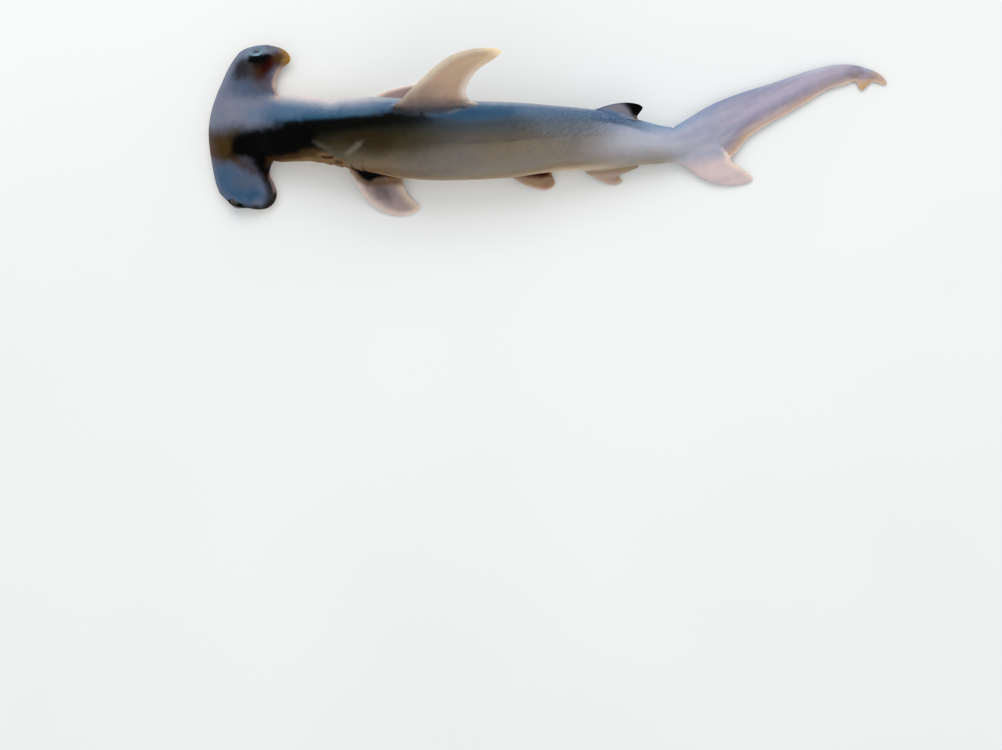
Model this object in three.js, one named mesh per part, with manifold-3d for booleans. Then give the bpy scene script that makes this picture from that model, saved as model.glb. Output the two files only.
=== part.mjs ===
// A near-term hammerhead shark, lying still on its belly and right flank with its head towards -X.
// Millimetres, +Z up. The shapes are laid out from the snout at x = 0 and the head's midline near y = 0,
// and the finished group is moved so that its origin is the bottom centre of its bounding box.
import * as THREE from "three";
import { mergeVertices } from "three/addons/utils/BufferGeometryUtils.js";
import Module from "manifold-3d";

const wasm = await Module();
wasm.setup();

// Driving sizes
const gap = 0.3;
const floorDepth = 60;
const farAway = 600;
const degree = Math.PI / 180;

// Body: one row for each station, [distance from the snout, sideways offset of the axis, half depth,
// half width, roll of the back towards +Y in degrees, lift of the lowest point above the floor]
const bodyStations = [
  [8, 3.2, 3.0, 12.0, 0, 2.4],
  [24, 1.4, 7.2, 17.5, 1, 1.8],
  [38, -0.9, 11.0, 21.0, 2, 1.4],
  [50, -2.6, 14.8, 23.2, 4, 0.9],
  [68, -3.0, 18.8, 22.8, 8, 0.4],
  [79, -3.6, 20.8, 22.4, 11, 0.1],
  [99.5, -5.8, 24.4, 24.0, 18, -0.4],
  [123, -8.3, 27.2, 25.7, 27, -0.8],
  [138.5, -10.5, 28.3, 26.4, 32, -0.9],
  [164, -12.2, 28.8, 26.0, 36, -0.9],
  [192, -12.2, 28.2, 24.9, 40, -0.9],
  [215, -11.9, 27.0, 23.8, 45, -0.4],
  [244, -10.9, 23.6, 20.4, 53, 1.4],
  [273, -11.0, 21.1, 17.3, 63, 1.0],
  [293, -11.5, 18.7, 14.6, 71, 0.4],
  [307, -12.0, 15.6, 12.2, 77, 0.0],
  [330, -12.8, 12.3, 9.4, 86, -0.3],
  [346, -7.5, 11.8, 6.6, 89, 0.6],
  [362, 0.5, 9.0, 4.4, 90, 1.2],
];
const bodyStart = 8;
const bodyEnd = 362;
const bodyRings = 36;
const bodySides = 28;
const narrowBack = 0.1;

// Hammer: plan outline of each wing, [distance from the head's midline, distance behind the snout],
// and the rise of its upper side over the edge, [distance from the head's midline, rise]
const headYaw = 7 * degree;
const headOffset = 4.5;
const wings = {
  left: {
    front: [[0, 0.3], [12, 1.2], [24, 5.2], [36, 8.8], [46, 12.8], [53.4, 18.4], [56.9, 27], [58.2, 40]],
    rear: [
      [0, 53], [12, 53], [22, 51], [31, 48], [38, 52.2], [44, 55], [51, 54.4], [55.8, 50.4], [57.8, 45], [58.2, 40],
    ],
    rise: [[0, 15], [10, 14.4], [20, 12], [30, 9.4], [40, 7.8], [50, 7.2], [59, 7]],
  },
  right: {
    front: [[0, 0.3], [12, 0.8], [24, 5.6], [36, 9.4], [46, 14], [53, 19.2], [57, 27], [58.6, 36]],
    rear: [
      [0, 53], [14, 52], [24, 48.5], [31, 45.3], [38, 46], [44, 48.8], [49, 53.3], [53.8, 51.8], [57.6, 45], [58.6, 36],
    ],
    rise: [[0, 15], [10, 14.4], [20, 12], [30, 9.6], [40, 8.2], [46, 7.4], [50, 5.6], [54, 3.4], [59, 0.8]],
  },
};
const wingSections = 15;
const lastSection = 0.985;
const sectionColumns = 9;
const edgeFullness = 0.62;
const tipStart = 40;
const tipBluntness = 3.4;
const edgeHeight = 4.6;
const wingBelly = 4.2;
const rightWingLift = 2.2;

// Eyes, one in the end of each wing
const eyeBehindSnout = { right: 30.3, left: 28.5 };
const eyeSpan = { right: 49.4, left: 55.1 };
const eyeHeight = { right: 8.2, left: 6.4 };
const eyeForward = 12 * degree;
const eyeRadius = 5.4;
const eyeFlat = 0.76;
const moundDepth = 5.8;
const moundLength = 8.8;
const moundRise = { right: 7.4, left: 6.6 };
const moundInset = 2.2;
const lidRadius = 5.35;
const lidThickness = 0.8;
const lidForward = 2.2;
const openingRadius = 4.6;
const openingFlat = 0.7;
const openingForward = 3.6;
const eyeSides = 18;
const eyeTilt = { right: 46 * degree, left: -4 * degree };

// Nostrils, near the outer front corners
const nostrilSpan = 42.5;
const nostrilLength = 7.5;
const nostrilRadius = 1.2;
const nostrilInset = 2.8;
const nostrilHeight = 2.2;
const nostrilSteps = 4;

// Mouth: a crescent under the head
const mouthFront = 33.6;
const mouthHalfWidth = 17;
const mouthSweep = 15;
const mouthWidth = 0.9;
const mouthSteps = 5;
const jawBack = 61;
const throatHalfWidth = 13;
const jawHeight = 6.2;
const jawDrop = 1;
const lipRadius = 1.5;
const lipInset = 1.5;
const lipExtent = 0.68;
const lipHeight = 1.5;
const tubeSides = 6;

// Gill flaps, five on each side
const gillFirst = 82;
const gillPitch = 7.6;
const gillCount = 5;
const gillTop = 70 * degree;
const gillBottom = 126 * degree;
const flapProud = 1.0;
const flapEase = 0.6;
const flapCurve = 2.4;
const flapSteps = 6;
// Section of a flap: [distance from its rear edge, share of its height, depth under the skin]
const flapSection = [[-6.4, 0, 1.4], [-6.4, 0, 0.5], [-2.9, 0.6, 0], [-0.5, 1, 0], [0, 0.55, 0], [-0.2, 0, 1.4]];

// Where the body is parted
const neckCut = 66;
const wingCut = 27;
const trunkCut = 124;
const stalkCut = 259;
const caudalCut = 334;
const lobeCut = -20.8;

// Fins: one row for each station from root to tip, [front edge x, y, z, rear edge x, y, z, thickness]
const finRows = {
  first_dorsal_fin: [
    [126, -4, 42, 178, -3, 42, 9],
    [131.4, 2.4, 48, 181.5, 4.9, 48, 6.6],
    [133, 4.2, 49.6, 194.3, 7.6, 50.4, 5.6],
    [141, 9.6, 53, 188.2, 9.8, 52.4, 5],
    [148, 16, 57, 185.6, 14.5, 57, 4.2],
    [156, 22.3, 62, 187.5, 20, 61, 3.5],
    [165, 29.5, 67, 191.5, 25.3, 65, 3],
    [175, 35.5, 71.3, 197, 29.3, 69, 2.4],
    [186.5, 38.8, 74.5, 202.5, 32.2, 71.8, 1.9],
    [197.3, 39.9, 76, 206.8, 34.7, 74, 1.4],
    [205.5, 39.5, 76, 209, 36.6, 75, 1],
    [208.6, 38.6, 75.7, 209.4, 37.5, 75.4, 0.8],
  ],
  second_dorsal_fin: [
    [268, 0, 23, 290, 0, 20, 5],
    [271.4, 6.2, 26.6, 292.5, 2.8, 25.6, 3.8],
    [273.4, 8.2, 27, 303.8, 1.8, 23.4, 3],
    [279.5, 10.4, 26.2, 304.2, 4.4, 22.8, 2.6],
    [288, 12.9, 25, 305.6, 6.6, 21.8, 2],
    [297, 13.9, 24.2, 307, 8.4, 22.4, 1.5],
    [304, 13.1, 23.6, 308, 10, 22.8, 1],
    [306.8, 12, 23.2, 308.1, 10.8, 23, 0.8],
  ],
  pectoral_fin_left: [
    [98, -20, 17, 134, -22, 12, 8],
    [101.5, -30.5, 15.4, 139, -33, 9, 5.2],
    [104.4, -37, 12.6, 139.5, -38, 7, 4.4],
    [109, -45, 9, 140.4, -43, 5, 3.6],
    [115, -52.6, 5.8, 142.2, -46.4, 3.4, 3],
    [123, -58.5, 3.4, 145, -50.4, 2.4, 2.4],
    [133, -62.2, 2, 148.4, -53.2, 1.8, 1.8],
    [144.3, -61.7, 1.4, 151, -55.6, 1.4, 1.3],
    [149.6, -58.9, 1.2, 151.6, -56.6, 1.2, 0.9],
  ],
  pectoral_fin_right: [
    [98, -6, 4.4, 134, -4, 5, 6],
    [101, 3, 3.4, 139, 6, 4.2, 4.4],
    [109, 13, 2.2, 141.5, 12.5, 2.8, 3.4],
    [121, 23.4, 1.6, 145, 19, 1.8, 2.8],
    [133, 28.2, 1.3, 150, 24.4, 1.4, 2.2],
    [146, 31, 1, 155.4, 28.6, 1.1, 1.5],
    [155, 32.2, 0.8, 158, 31, 0.8, 1],
  ],
  pelvic_fin_left: [
    [212, -26, 12, 241, -22, 10, 5],
    [215, -34.6, 9.6, 244, -29.6, 6, 3.4],
    [224.1, -39.8, 5.8, 245.4, -32.8, 3.6, 2.6],
    [232.7, -42.9, 3, 246.4, -35.6, 2.2, 2],
    [240.4, -44.1, 1.8, 247.4, -38, 1.6, 1.5],
    [245.2, -42.6, 1.2, 247.6, -40.2, 1.2, 0.9],
  ],
  pelvic_fin_right: [
    [213, -20, 5, 241, -17, 6, 5],
    [216, -17, 2, 244, -14, 2.6, 3],
    [224, -9, 1.3, 247, -7, 1.4, 2.2],
    [233, -3.4, 1, 250, -3, 1, 1.7],
    [242, -0.6, 0.9, 252.4, -0.6, 0.9, 1.2],
    [249, 0.4, 0.8, 253, 0.2, 0.8, 0.9],
  ],
  anal_fin: [
    [266, -22, 12, 302, -20, 8, 4.4],
    [268, -31, 8.4, 307, -27.2, 5.6, 3],
    [275, -35.4, 5.2, 303, -29.8, 3.6, 2.4],
    [282, -38.6, 3.2, 293.6, -33.4, 2.4, 2],
    [289.6, -40.5, 2, 293.6, -35.2, 1.8, 1.4],
    [294.4, -39.4, 1.2, 296.2, -37.4, 1.2, 0.9],
  ],
};
const caudalRows = [
  [328, -2, 9.4, 328, -23.6, 9.4, 12],
  [337.5, 3.6, 8.4, 342, -26, 8, 10],
  [347, 9.2, 7.6, 356, -25.4, 6.6, 8.4],
  [361, 17, 6.4, 371.9, -21.8, 5, 7],
  [380, 24.5, 5.2, 385.4, -6.8, 4.2, 5.8],
  [404, 32.2, 4.2, 402, 4, 3.6, 4.8],
  [424, 39.2, 3.6, 422, 15.2, 3, 4],
  [441, 44, 3, 441, 26.6, 2.6, 3.4],
  [454, 45.3, 2.6, 455, 31, 2.2, 2.8],
  [463, 44.4, 2.2, 462, 33.2, 2, 2.4],
  [470, 42.5, 1.9, 466.4, 26.8, 1.6, 2],
  [476, 40.3, 1.7, 473.8, 32.8, 1.6, 1.8],
  [481, 37, 1.5, 480.4, 31.4, 1.4, 1.5],
  [484.4, 33, 1.3, 484, 30.8, 1.2, 1],
];
const lowerLobeRows = [
  [330, -16, 9, 362, -8, 6, 8],
  [332.5, -24.4, 8, 369, -18, 5.4, 6],
  [343.4, -29.8, 6, 372.4, -22.6, 4.8, 4.6],
  [351, -35.2, 4.6, 375.6, -26, 4, 3.6],
  [361, -39.4, 3.4, 380.6, -29.4, 3.2, 2.8],
  [371.6, -40.9, 2.4, 385.2, -32.4, 2.4, 2],
  [381, -40, 1.7, 388.4, -35, 1.7, 1.4],
  [386.8, -38.4, 1.3, 388.8, -36.4, 1.3, 0.9],
];
const finColumns = 6;
const finStepsPerRow = 2;
const thinnestEdge = 0.28;
const webStart = 0.78;

// Colours
const skinGrey = 0x5f6b78;
const flankGrey = 0x8a8580;
const palePink = 0xc9a592;
const beige = 0xcdb195;
const bellyCream = 0xe3d3c0;
const lavender = 0x9d97a8;
const tipGrey = 0x54565e;
const irisBlue = 0x6f8797;

// Smooth value of every column of a table at one place, by cubic pieces through its rows
function follow(rows, place) {
  const last = rows.length - 1;
  let index = 0;
  while (index < last - 1 && place > rows[index + 1][0]) index += 1;
  const [a, b] = [rows[index], rows[index + 1]];
  const before = rows[Math.max(index - 1, 0)];
  const after = rows[Math.min(index + 2, last)];
  const span = b[0] - a[0];
  const t = THREE.MathUtils.clamp((place - a[0]) / span, 0, 1);
  return a.map((value, column) => {
    const slopeA = ((b[column] - before[column]) / (b[0] - before[0])) * span;
    const slopeB = ((after[column] - a[column]) / (after[0] - a[0])) * span;
    const [t2, t3] = [t * t, t * t * t];
    return (
      (2 * t3 - 3 * t2 + 1) * value + (t3 - 2 * t2 + t) * slopeA +
      (3 * t2 - 2 * t3) * b[column] + (t3 - t2) * slopeB
    );
  });
}

// The same for rows that are one step apart, without a place column
function followRows(rows, step) {
  return follow(rows.map((row, index) => [index, ...row]), step).slice(1);
}

// Point on the body's skin: angle 0 is the back, 90 degrees the left flank, 180 degrees the belly
function bodyPoint(place, angle, proud = 0) {
  const [, sideways, halfDepth, halfWidth, rollDegrees, lift] = follow(bodyStations, place);
  const roll = rollDegrees * degree;
  const reach = Math.hypot(halfDepth * Math.cos(roll), halfWidth * Math.sin(roll));
  const up = (halfDepth + proud) * Math.cos(angle);
  const left = (halfWidth + proud) * Math.sin(angle) * (1 - narrowBack * Math.cos(angle));
  return new THREE.Vector3(
    place,
    sideways + up * Math.sin(roll) - left * Math.cos(roll),
    reach + lift + up * Math.cos(roll) + left * Math.sin(roll),
  );
}

// Point of the head's own plan, turned and set in the shark's frame
function headPoint(span, back, height) {
  const across = span + headOffset;
  return new THREE.Vector3(
    across * Math.sin(headYaw) + back * Math.cos(headYaw),
    across * Math.cos(headYaw) - back * Math.sin(headYaw),
    height,
  );
}

// Turns closed rings of points into one closed solid, with a fan over each end ring
function loft(rings) {
  const points = rings.flat();
  const sides = rings[0].length;
  const triangles = [];
  for (let ring = 0; ring + 1 < rings.length; ring += 1) {
    for (let side = 0; side < sides; side += 1) {
      const a = ring * sides + side;
      const b = ring * sides + ((side + 1) % sides);
      triangles.push([a, b, b + sides], [a, b + sides, a + sides]);
    }
  }
  for (const [ring, turned] of [[0, true], [rings.length - 1, false]]) {
    const middle = rings[ring].reduce((sum, point) => sum.add(point), new THREE.Vector3());
    points.push(middle.divideScalar(sides));
    for (let side = 0; side < sides; side += 1) {
      const a = ring * sides + side;
      const b = ring * sides + ((side + 1) % sides);
      triangles.push(turned ? [b, a, points.length - 1] : [a, b, points.length - 1]);
    }
  }
  return solidFrom(points, triangles);
}

// Closed solid from points and triangles, turned so that its faces point outwards
function solidFrom(points, triangles) {
  const signed = triangles.reduce((sum, [a, b, c]) => {
    return sum + points[a].dot(new THREE.Vector3().crossVectors(points[b], points[c]));
  }, 0);
  const outward = signed > 0 ? triangles : triangles.map(([a, b, c]) => [a, c, b]);
  return new wasm.Manifold(
    new wasm.Mesh({
      numProp: 3,
      vertProperties: new Float32Array(points.flatMap((point) => point.toArray())),
      triVerts: new Uint32Array(outward.flat()),
    }),
  );
}

// A geometry with nothing but its positions
function stripped(geometry) {
  geometry.deleteAttribute("normal");
  geometry.deleteAttribute("uv");
  return geometry;
}

// Closed solid from a three.js geometry
function solidOf(geometry) {
  const merged = mergeVertices(stripped(geometry), 1e-4);
  return new wasm.Manifold(
    new wasm.Mesh({
      numProp: 3,
      vertProperties: new Float32Array(merged.attributes.position.array),
      triVerts: new Uint32Array(merged.index.array),
    }),
  );
}

// Box between two corners
function block(low, high) {
  const size = high.map((value, axis) => value - low[axis]);
  const middle = high.map((value, axis) => (value + low[axis]) / 2);
  return solidOf(new THREE.BoxGeometry(...size).translate(...middle));
}

// Box in the head's own plan, from span and back limits
function headBlock(spanLow, spanHigh, backLow, backHigh, low, high) {
  const size = [backHigh - backLow, spanHigh - spanLow, high - low];
  const middle = headPoint((spanLow + spanHigh) / 2, (backLow + backHigh) / 2, (low + high) / 2);
  const geometry = new THREE.BoxGeometry(...size).rotateZ(-headYaw);
  return solidOf(geometry.translate(middle.x, middle.y, middle.z));
}

// The largest closed surface of a solid
function largest(solid) {
  const pieces = solid.decompose();
  pieces.sort((a, b) => b.volume() - a.volume());
  return pieces[0];
}

function joined(solids) {
  return solids.reduce((sum, solid) => sum.add(solid));
}

function bodyLoft(from, to, ringCount, proud) {
  const rings = [];
  for (let ring = 0; ring <= ringCount; ring += 1) {
    const place = THREE.MathUtils.lerp(from, to, ring / ringCount);
    const points = [];
    for (let side = 0; side < bodySides; side += 1) {
      points.push(bodyPoint(place, (side / bodySides) * 2 * Math.PI, proud));
    }
    rings.push(points);
  }
  return loft(rings);
}

// The right wing is bent up a little towards its end
function wingLift(span) {
  return rightWingLift * THREE.MathUtils.smoothstep(span, 24, 58);
}

// Hammer: sections from one wing tip to the other, each from the front edge over the top to the rear edge
function hammer() {
  const rings = [];
  for (let step = -wingSections; step <= wingSections; step += 1) {
    const { front, rear, rise } = step < 0 ? wings.left : wings.right;
    const tip = front.at(-1)[0];
    const share = Math.min(Math.abs(step) / wingSections, lastSection);
    const reach = Math.sin(share * (Math.PI / 2)) * tip;
    const [, frontBack] = follow(front, reach);
    const [, rearBack] = follow(rear, reach);
    const toTip = Math.max(0, (reach - tipStart) / (tip - tipStart));
    const full = Math.max(0, 1 - toTip ** tipBluntness) ** (1 / tipBluntness);
    const [, top] = follow(rise, reach);
    const span = Math.sign(step) * reach;
    const middle = edgeHeight + wingLift(span);
    const pointAt = (column, height) => {
      const along = (1 - Math.cos((column / sectionColumns) * Math.PI)) / 2;
      const swell = (1 - (2 * along - 1) ** 2) ** edgeFullness;
      const back = THREE.MathUtils.lerp(frontBack, rearBack, along);
      return headPoint(span, back, middle + height * full * swell);
    };
    const ring = [];
    for (let column = 0; column <= sectionColumns; column += 1) ring.push(pointAt(column, top));
    for (let column = sectionColumns - 1; column > 0; column -= 1) ring.push(pointAt(column, -wingBelly));
    rings.push(ring);
  }
  return loft(rings);
}

// Direction that an eye looks in, out of the end of its wing
function eyeDirection(side) {
  const sign = side === "right" ? 1 : -1;
  const turn = headYaw - eyeForward * sign;
  const flat = Math.cos(eyeTilt[side]) * sign;
  return new THREE.Vector3(Math.sin(turn) * flat, Math.cos(turn) * flat, Math.sin(eyeTilt[side]));
}

function eyeCentre(side) {
  const span = side === "right" ? eyeSpan.right : -eyeSpan.left;
  return headPoint(span, eyeBehindSnout[side], eyeHeight[side] + wingLift(span));
}

// Sets a geometry made round +Z at an eye, moved out along the way that it looks
function atEye(geometry, side, forward) {
  const direction = eyeDirection(side);
  const turn = new THREE.Quaternion().setFromUnitVectors(new THREE.Vector3(0, 0, 1), direction);
  const place = eyeCentre(side).addScaledVector(direction, forward);
  return solidOf(geometry.applyQuaternion(turn).translate(place.x, place.y, place.z));
}

function eyeball(side, extra) {
  const radius = eyeRadius + extra;
  const ball = new THREE.SphereGeometry(radius, eyeSides, eyeSides / 2).rotateX(Math.PI / 2);
  return atEye(ball.scale(1, 1, (eyeRadius * eyeFlat + extra) / radius), side, 0);
}

// The eye with the room in front of it, between the lids
function eyeSocket(side) {
  const opening = new THREE.SphereGeometry(openingRadius, eyeSides, eyeSides / 2).rotateX(Math.PI / 2);
  return eyeball(side, gap).add(atEye(opening.scale(1, 1, openingFlat), side, openingForward));
}

function eyelids(side) {
  return atEye(new THREE.TorusGeometry(lidRadius, lidThickness, tubeSides, eyeSides), side, lidForward);
}

// Swelling of the wing's end that holds the eye
function eyeMound(side) {
  const mound = new THREE.SphereGeometry(1, 16, 10).rotateX(Math.PI / 2);
  return atEye(mound.scale(moundLength, moundRise[side], moundDepth), side, -moundInset);
}

// Tube of few sides along points in the head's plan
function headTube(places, radius, height) {
  const rings = places.map(([span, back], index) => {
    const [before, after] = [places[Math.max(index - 1, 0)], places[Math.min(index + 1, places.length - 1)]];
    const along = new THREE.Vector2(after[0] - before[0], after[1] - before[1]).normalize();
    const points = [];
    for (let side = 0; side < tubeSides; side += 1) {
      const angle = (side / tubeSides) * 2 * Math.PI;
      const aside = Math.cos(angle) * radius;
      points.push(headPoint(span - along.y * aside, back + along.x * aside, height + Math.sin(angle) * radius));
    }
    return points;
  });
  return loft(rings);
}

// The mouth's line under the head, moved back by an offset
function mouthLine(offset, extent = 1) {
  const places = [];
  for (let step = -mouthSteps; step <= mouthSteps; step += 1) {
    const share = (step / mouthSteps) * extent;
    places.push([share * mouthHalfWidth, mouthFront + offset + mouthSweep * share ** 2]);
  }
  return places;
}

// Block behind the mouth's line that holds the lower jaw
function jawBlock(frontOffset, sideOffset) {
  const places = mouthLine(frontOffset).map(([span, back]) => {
    const share = span / mouthHalfWidth;
    return [span + sideOffset * share, back];
  });
  const throat = throatHalfWidth + sideOffset;
  places.push([throat, jawBack + sideOffset], [-throat, jawBack + sideOffset]);
  const outline = new THREE.Shape(places.map(([span, back]) => new THREE.Vector2(span, back)));
  const geometry = new THREE.ExtrudeGeometry(outline, {
    depth: jawHeight + sideOffset + jawDrop,
    bevelEnabled: false,
  });
  const position = geometry.attributes.position;
  for (let index = 0; index < position.count; index += 1) {
    const point = headPoint(position.getX(index), position.getY(index), position.getZ(index) - jawDrop);
    position.setXYZ(index, point.x, point.y, point.z);
  }
  const faces = mergeVertices(stripped(geometry), 1e-4);
  const points = [];
  for (let index = 0; index < faces.attributes.position.count; index += 1) {
    points.push(new THREE.Vector3().fromBufferAttribute(faces.attributes.position, index));
  }
  const triangles = [];
  for (let index = 0; index < faces.index.count; index += 3) {
    triangles.push([0, 1, 2].map((corner) => faces.index.getX(index + corner)));
  }
  return solidFrom(points, triangles);
}

// One nostril slot, which opens at the front edge and under it
function nostril(sign) {
  const { front } = sign < 0 ? wings.left : wings.right;
  const places = [];
  for (let step = 0; step <= nostrilSteps; step += 1) {
    const span = nostrilSpan + (step / nostrilSteps - 0.5) * nostrilLength;
    places.push([span * sign, follow(front, span)[1] + nostrilInset]);
  }
  return headTube(places, nostrilRadius, nostrilHeight + wingLift(nostrilSpan * sign));
}

// One gill flap: flush in front, standing proud over its slit behind
function gillFlap(index, sign, extra) {
  const slit = gillFirst + index * gillPitch;
  const rings = [];
  for (let step = 0; step <= flapSteps; step += 1) {
    const share = step / flapSteps;
    const angle = THREE.MathUtils.lerp(gillTop, gillBottom, share) * sign;
    const stand = (flapProud + extra) * Math.sin(Math.PI * THREE.MathUtils.lerp(0.08, 0.92, share)) ** flapEase;
    const rear = slit + flapCurve * (2 * share - 1) ** 2 + extra;
    rings.push(
      flapSection.map(([along, rise, depth]) => bodyPoint(rear + along, angle, rise * stand - depth)),
    );
  }
  return loft(rings);
}

// Fin from its rows: two faces over the same grid, with a blunt thin edge
function fin(rows, muscle) {
  const steps = (rows.length - 1) * finStepsPerRow;
  const frames = [];
  for (let step = 0; step <= steps; step += 1) {
    const values = followRows(rows, step / finStepsPerRow);
    frames.push({
      lead: new THREE.Vector3(...values.slice(0, 3)),
      trail: new THREE.Vector3(...values.slice(3, 6)),
      thickness: values[6],
    });
  }
  const middleOf = ({ lead, trail }) => lead.clone().add(trail).multiplyScalar(0.5);
  const rings = frames.map(({ lead, trail, thickness }, step) => {
    const [before, after] = [frames[Math.max(step - 1, 0)], frames[Math.min(step + 1, steps)]];
    const chord = trail.clone().sub(lead);
    const growth = middleOf(after).sub(middleOf(before));
    const normal = chord.clone().cross(growth).normalize();
    const pointAt = (column, sign) => {
      const along = (1 - Math.cos((column / finColumns) * Math.PI)) / 2;
      const inMuscle = Math.min(1, along / muscle);
      const full = Math.sin(Math.PI * inMuscle ** 0.7) ** 0.75;
      const half = Math.max(Math.min(thinnestEdge, thickness / 2), (full * thickness) / 2);
      return lead.clone().addScaledVector(chord, along).addScaledVector(normal, half * sign);
    };
    const ring = [];
    for (let column = 0; column <= finColumns; column += 1) ring.push(pointAt(column, 1));
    for (let column = finColumns; column >= 0; column -= 1) ring.push(pointAt(column, -1));
    return ring;
  });
  return loft(rings);
}

// Slab between two distances from the snout
function slab(from, to) {
  return block([from, -farAway, -farAway], [to, farAway, farAway]);
}

// Flesh of the head and body as one solid
const floor = block([-farAway, -farAway, -floorDepth], [farAway, farAway, 0]);
const sides = ["left", "right"];
const signs = { left: 1, right: -1 };
const flaps = (extra) => {
  const list = [];
  for (const side of sides) {
    for (let index = 0; index < gillCount; index += 1) list.push(gillFlap(index, signs[side], extra));
  }
  return list;
};
const jawCut = jawBlock(-mouthWidth / 2, gap);
const solidFlesh = joined([
  bodyLoft(bodyStart, bodyEnd, bodyRings, 0),
  hammer(),
  ...sides.map(eyeMound),
  ...sides.map(eyelids),
  ...flaps(0),
]);
const headFlesh = joined([
  solidFlesh,
  headTube(mouthLine(-lipInset, lipExtent), lipRadius, lipHeight),
])
  .subtract(jawCut)
  .subtract(joined(sides.map(eyeSocket)))
  .subtract(joined([nostril(1), nostril(-1)]))
  .subtract(floor);
const jawFlesh = joined([solidFlesh, headTube(mouthLine(lipInset, lipExtent), lipRadius, lipHeight)])
  .intersect(jawBlock(mouthWidth / 2, 0))
  .subtract(floor);
const bodyClearance = joined([bodyLoft(bodyStart, bodyEnd, bodyRings, gap), ...flaps(gap)]);

const half = gap / 2;
const wingEdge = { left: [-farAway, -wingCut - half], right: [wingCut + half, farAway] };
const pieces = {
  head: headFlesh
    .intersect(slab(-farAway, neckCut - half))
    .intersect(headBlock(-wingCut + half, wingCut - half, -farAway, farAway, -farAway, farAway)),
  lower_jaw: jawFlesh,
  gill_region: headFlesh.intersect(slab(neckCut + half, trunkCut - half)),
  trunk: headFlesh.intersect(slab(trunkCut + half, stalkCut - half)),
  tail_stalk: headFlesh.intersect(slab(stalkCut + half, caudalCut - half)),
};
for (const side of sides) {
  const wingBlock = headBlock(...wingEdge[side], -farAway, farAway, -farAway, farAway);
  pieces[`hammer_wing_${side}`] = headFlesh.intersect(slab(-farAway, neckCut - half)).intersect(wingBlock);
  pieces[`eye_${side}`] = eyeball(side, 0);
}
for (const [name, rows] of Object.entries(finRows)) {
  pieces[name] = fin(rows, 1).subtract(bodyClearance).subtract(floor);
}
const caudal = joined([fin(caudalRows, webStart), fin(lowerLobeRows, 1), bodyLoft(bodyStart, bodyEnd, bodyRings, 0)])
  .intersect(slab(caudalCut + half, farAway))
  .subtract(floor);
pieces.caudal_upper_lobe = caudal.intersect(block([0, lobeCut + half, -farAway], [farAway, farAway, farAway]));
pieces.caudal_lower_lobe = caudal.intersect(block([0, -farAway, -farAway], [farAway, lobeCut - half, farAway]));

const colours = {
  head: skinGrey,
  lower_jaw: bellyCream,
  gill_region: skinGrey,
  trunk: flankGrey,
  tail_stalk: flankGrey,
  hammer_wing_left: skinGrey,
  hammer_wing_right: skinGrey,
  eye_left: irisBlue,
  eye_right: irisBlue,
  first_dorsal_fin: beige,
  second_dorsal_fin: tipGrey,
  pectoral_fin_left: palePink,
  pectoral_fin_right: palePink,
  pelvic_fin_left: palePink,
  pelvic_fin_right: palePink,
  anal_fin: palePink,
  caudal_upper_lobe: lavender,
  caudal_lower_lobe: palePink,
};

function meshOf(name, solid) {
  const { vertProperties, triVerts } = solid.getMesh();
  const geometry = new THREE.BufferGeometry();
  geometry.setAttribute("position", new THREE.BufferAttribute(vertProperties, 3));
  geometry.setIndex(new THREE.BufferAttribute(triVerts, 1));
  geometry.computeVertexNormals();
  const shiny = name.startsWith("eye");
  const material = new THREE.MeshStandardMaterial({
    color: colours[name],
    roughness: shiny ? 0.1 : 0.45,
    metalness: 0,
  });
  const mesh = new THREE.Mesh(geometry, material);
  mesh.name = name;
  return mesh;
}

const shark = new THREE.Group();
for (const [name, solid] of Object.entries(pieces)) shark.add(meshOf(name, largest(solid)));
const bounds = new THREE.Box3().setFromObject(shark);
const centre = bounds.getCenter(new THREE.Vector3());
shark.position.set(-centre.x, -centre.y, -bounds.min.z);

export default shark;
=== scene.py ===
import math

import bmesh
import bpy
import numpy as np
from mathutils import Matrix, Vector, noise
from mathutils.bvhtree import BVHTree
from mathutils.kdtree import KDTree


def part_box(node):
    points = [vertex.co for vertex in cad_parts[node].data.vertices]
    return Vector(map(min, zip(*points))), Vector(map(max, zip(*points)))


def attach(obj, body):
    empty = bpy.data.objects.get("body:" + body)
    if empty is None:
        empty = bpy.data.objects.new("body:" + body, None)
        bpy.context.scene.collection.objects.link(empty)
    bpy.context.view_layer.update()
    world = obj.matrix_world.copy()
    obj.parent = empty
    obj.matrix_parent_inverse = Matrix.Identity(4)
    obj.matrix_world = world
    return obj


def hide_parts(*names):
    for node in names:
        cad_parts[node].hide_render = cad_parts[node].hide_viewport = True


# The looks of a young hammerhead shark that lies on its belly and right flank. The tables are in
# millimetres, measured from the snout, and give the same forms as the solids, but for softer seams, a
# hollow in the neck and fainter upper ends of the gill slits. The skin is one mesh over head, body and
# fins, and the two eyes are pieces of their own.
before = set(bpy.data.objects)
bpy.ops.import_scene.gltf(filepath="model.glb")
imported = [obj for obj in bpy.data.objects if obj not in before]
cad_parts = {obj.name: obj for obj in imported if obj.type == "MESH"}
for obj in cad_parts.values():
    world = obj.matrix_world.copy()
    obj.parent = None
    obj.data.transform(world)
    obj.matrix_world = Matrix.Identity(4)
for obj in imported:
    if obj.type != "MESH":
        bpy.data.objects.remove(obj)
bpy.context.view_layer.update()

MM = 0.001
# Farther than any distance that is looked for
FAR = 99.0
# Points closer than this are one, in metres
MERGE_DISTANCE = 1e-6

# The camera's place straight above the picture's middle, the picture's middle in pixels and the
# millimetres of floor that one pixel covers
CAMERA = [209.2, -176.0, 994.0]
PICTURE_MIDDLE = (501, 375)
PIXEL = 0.7143

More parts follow.
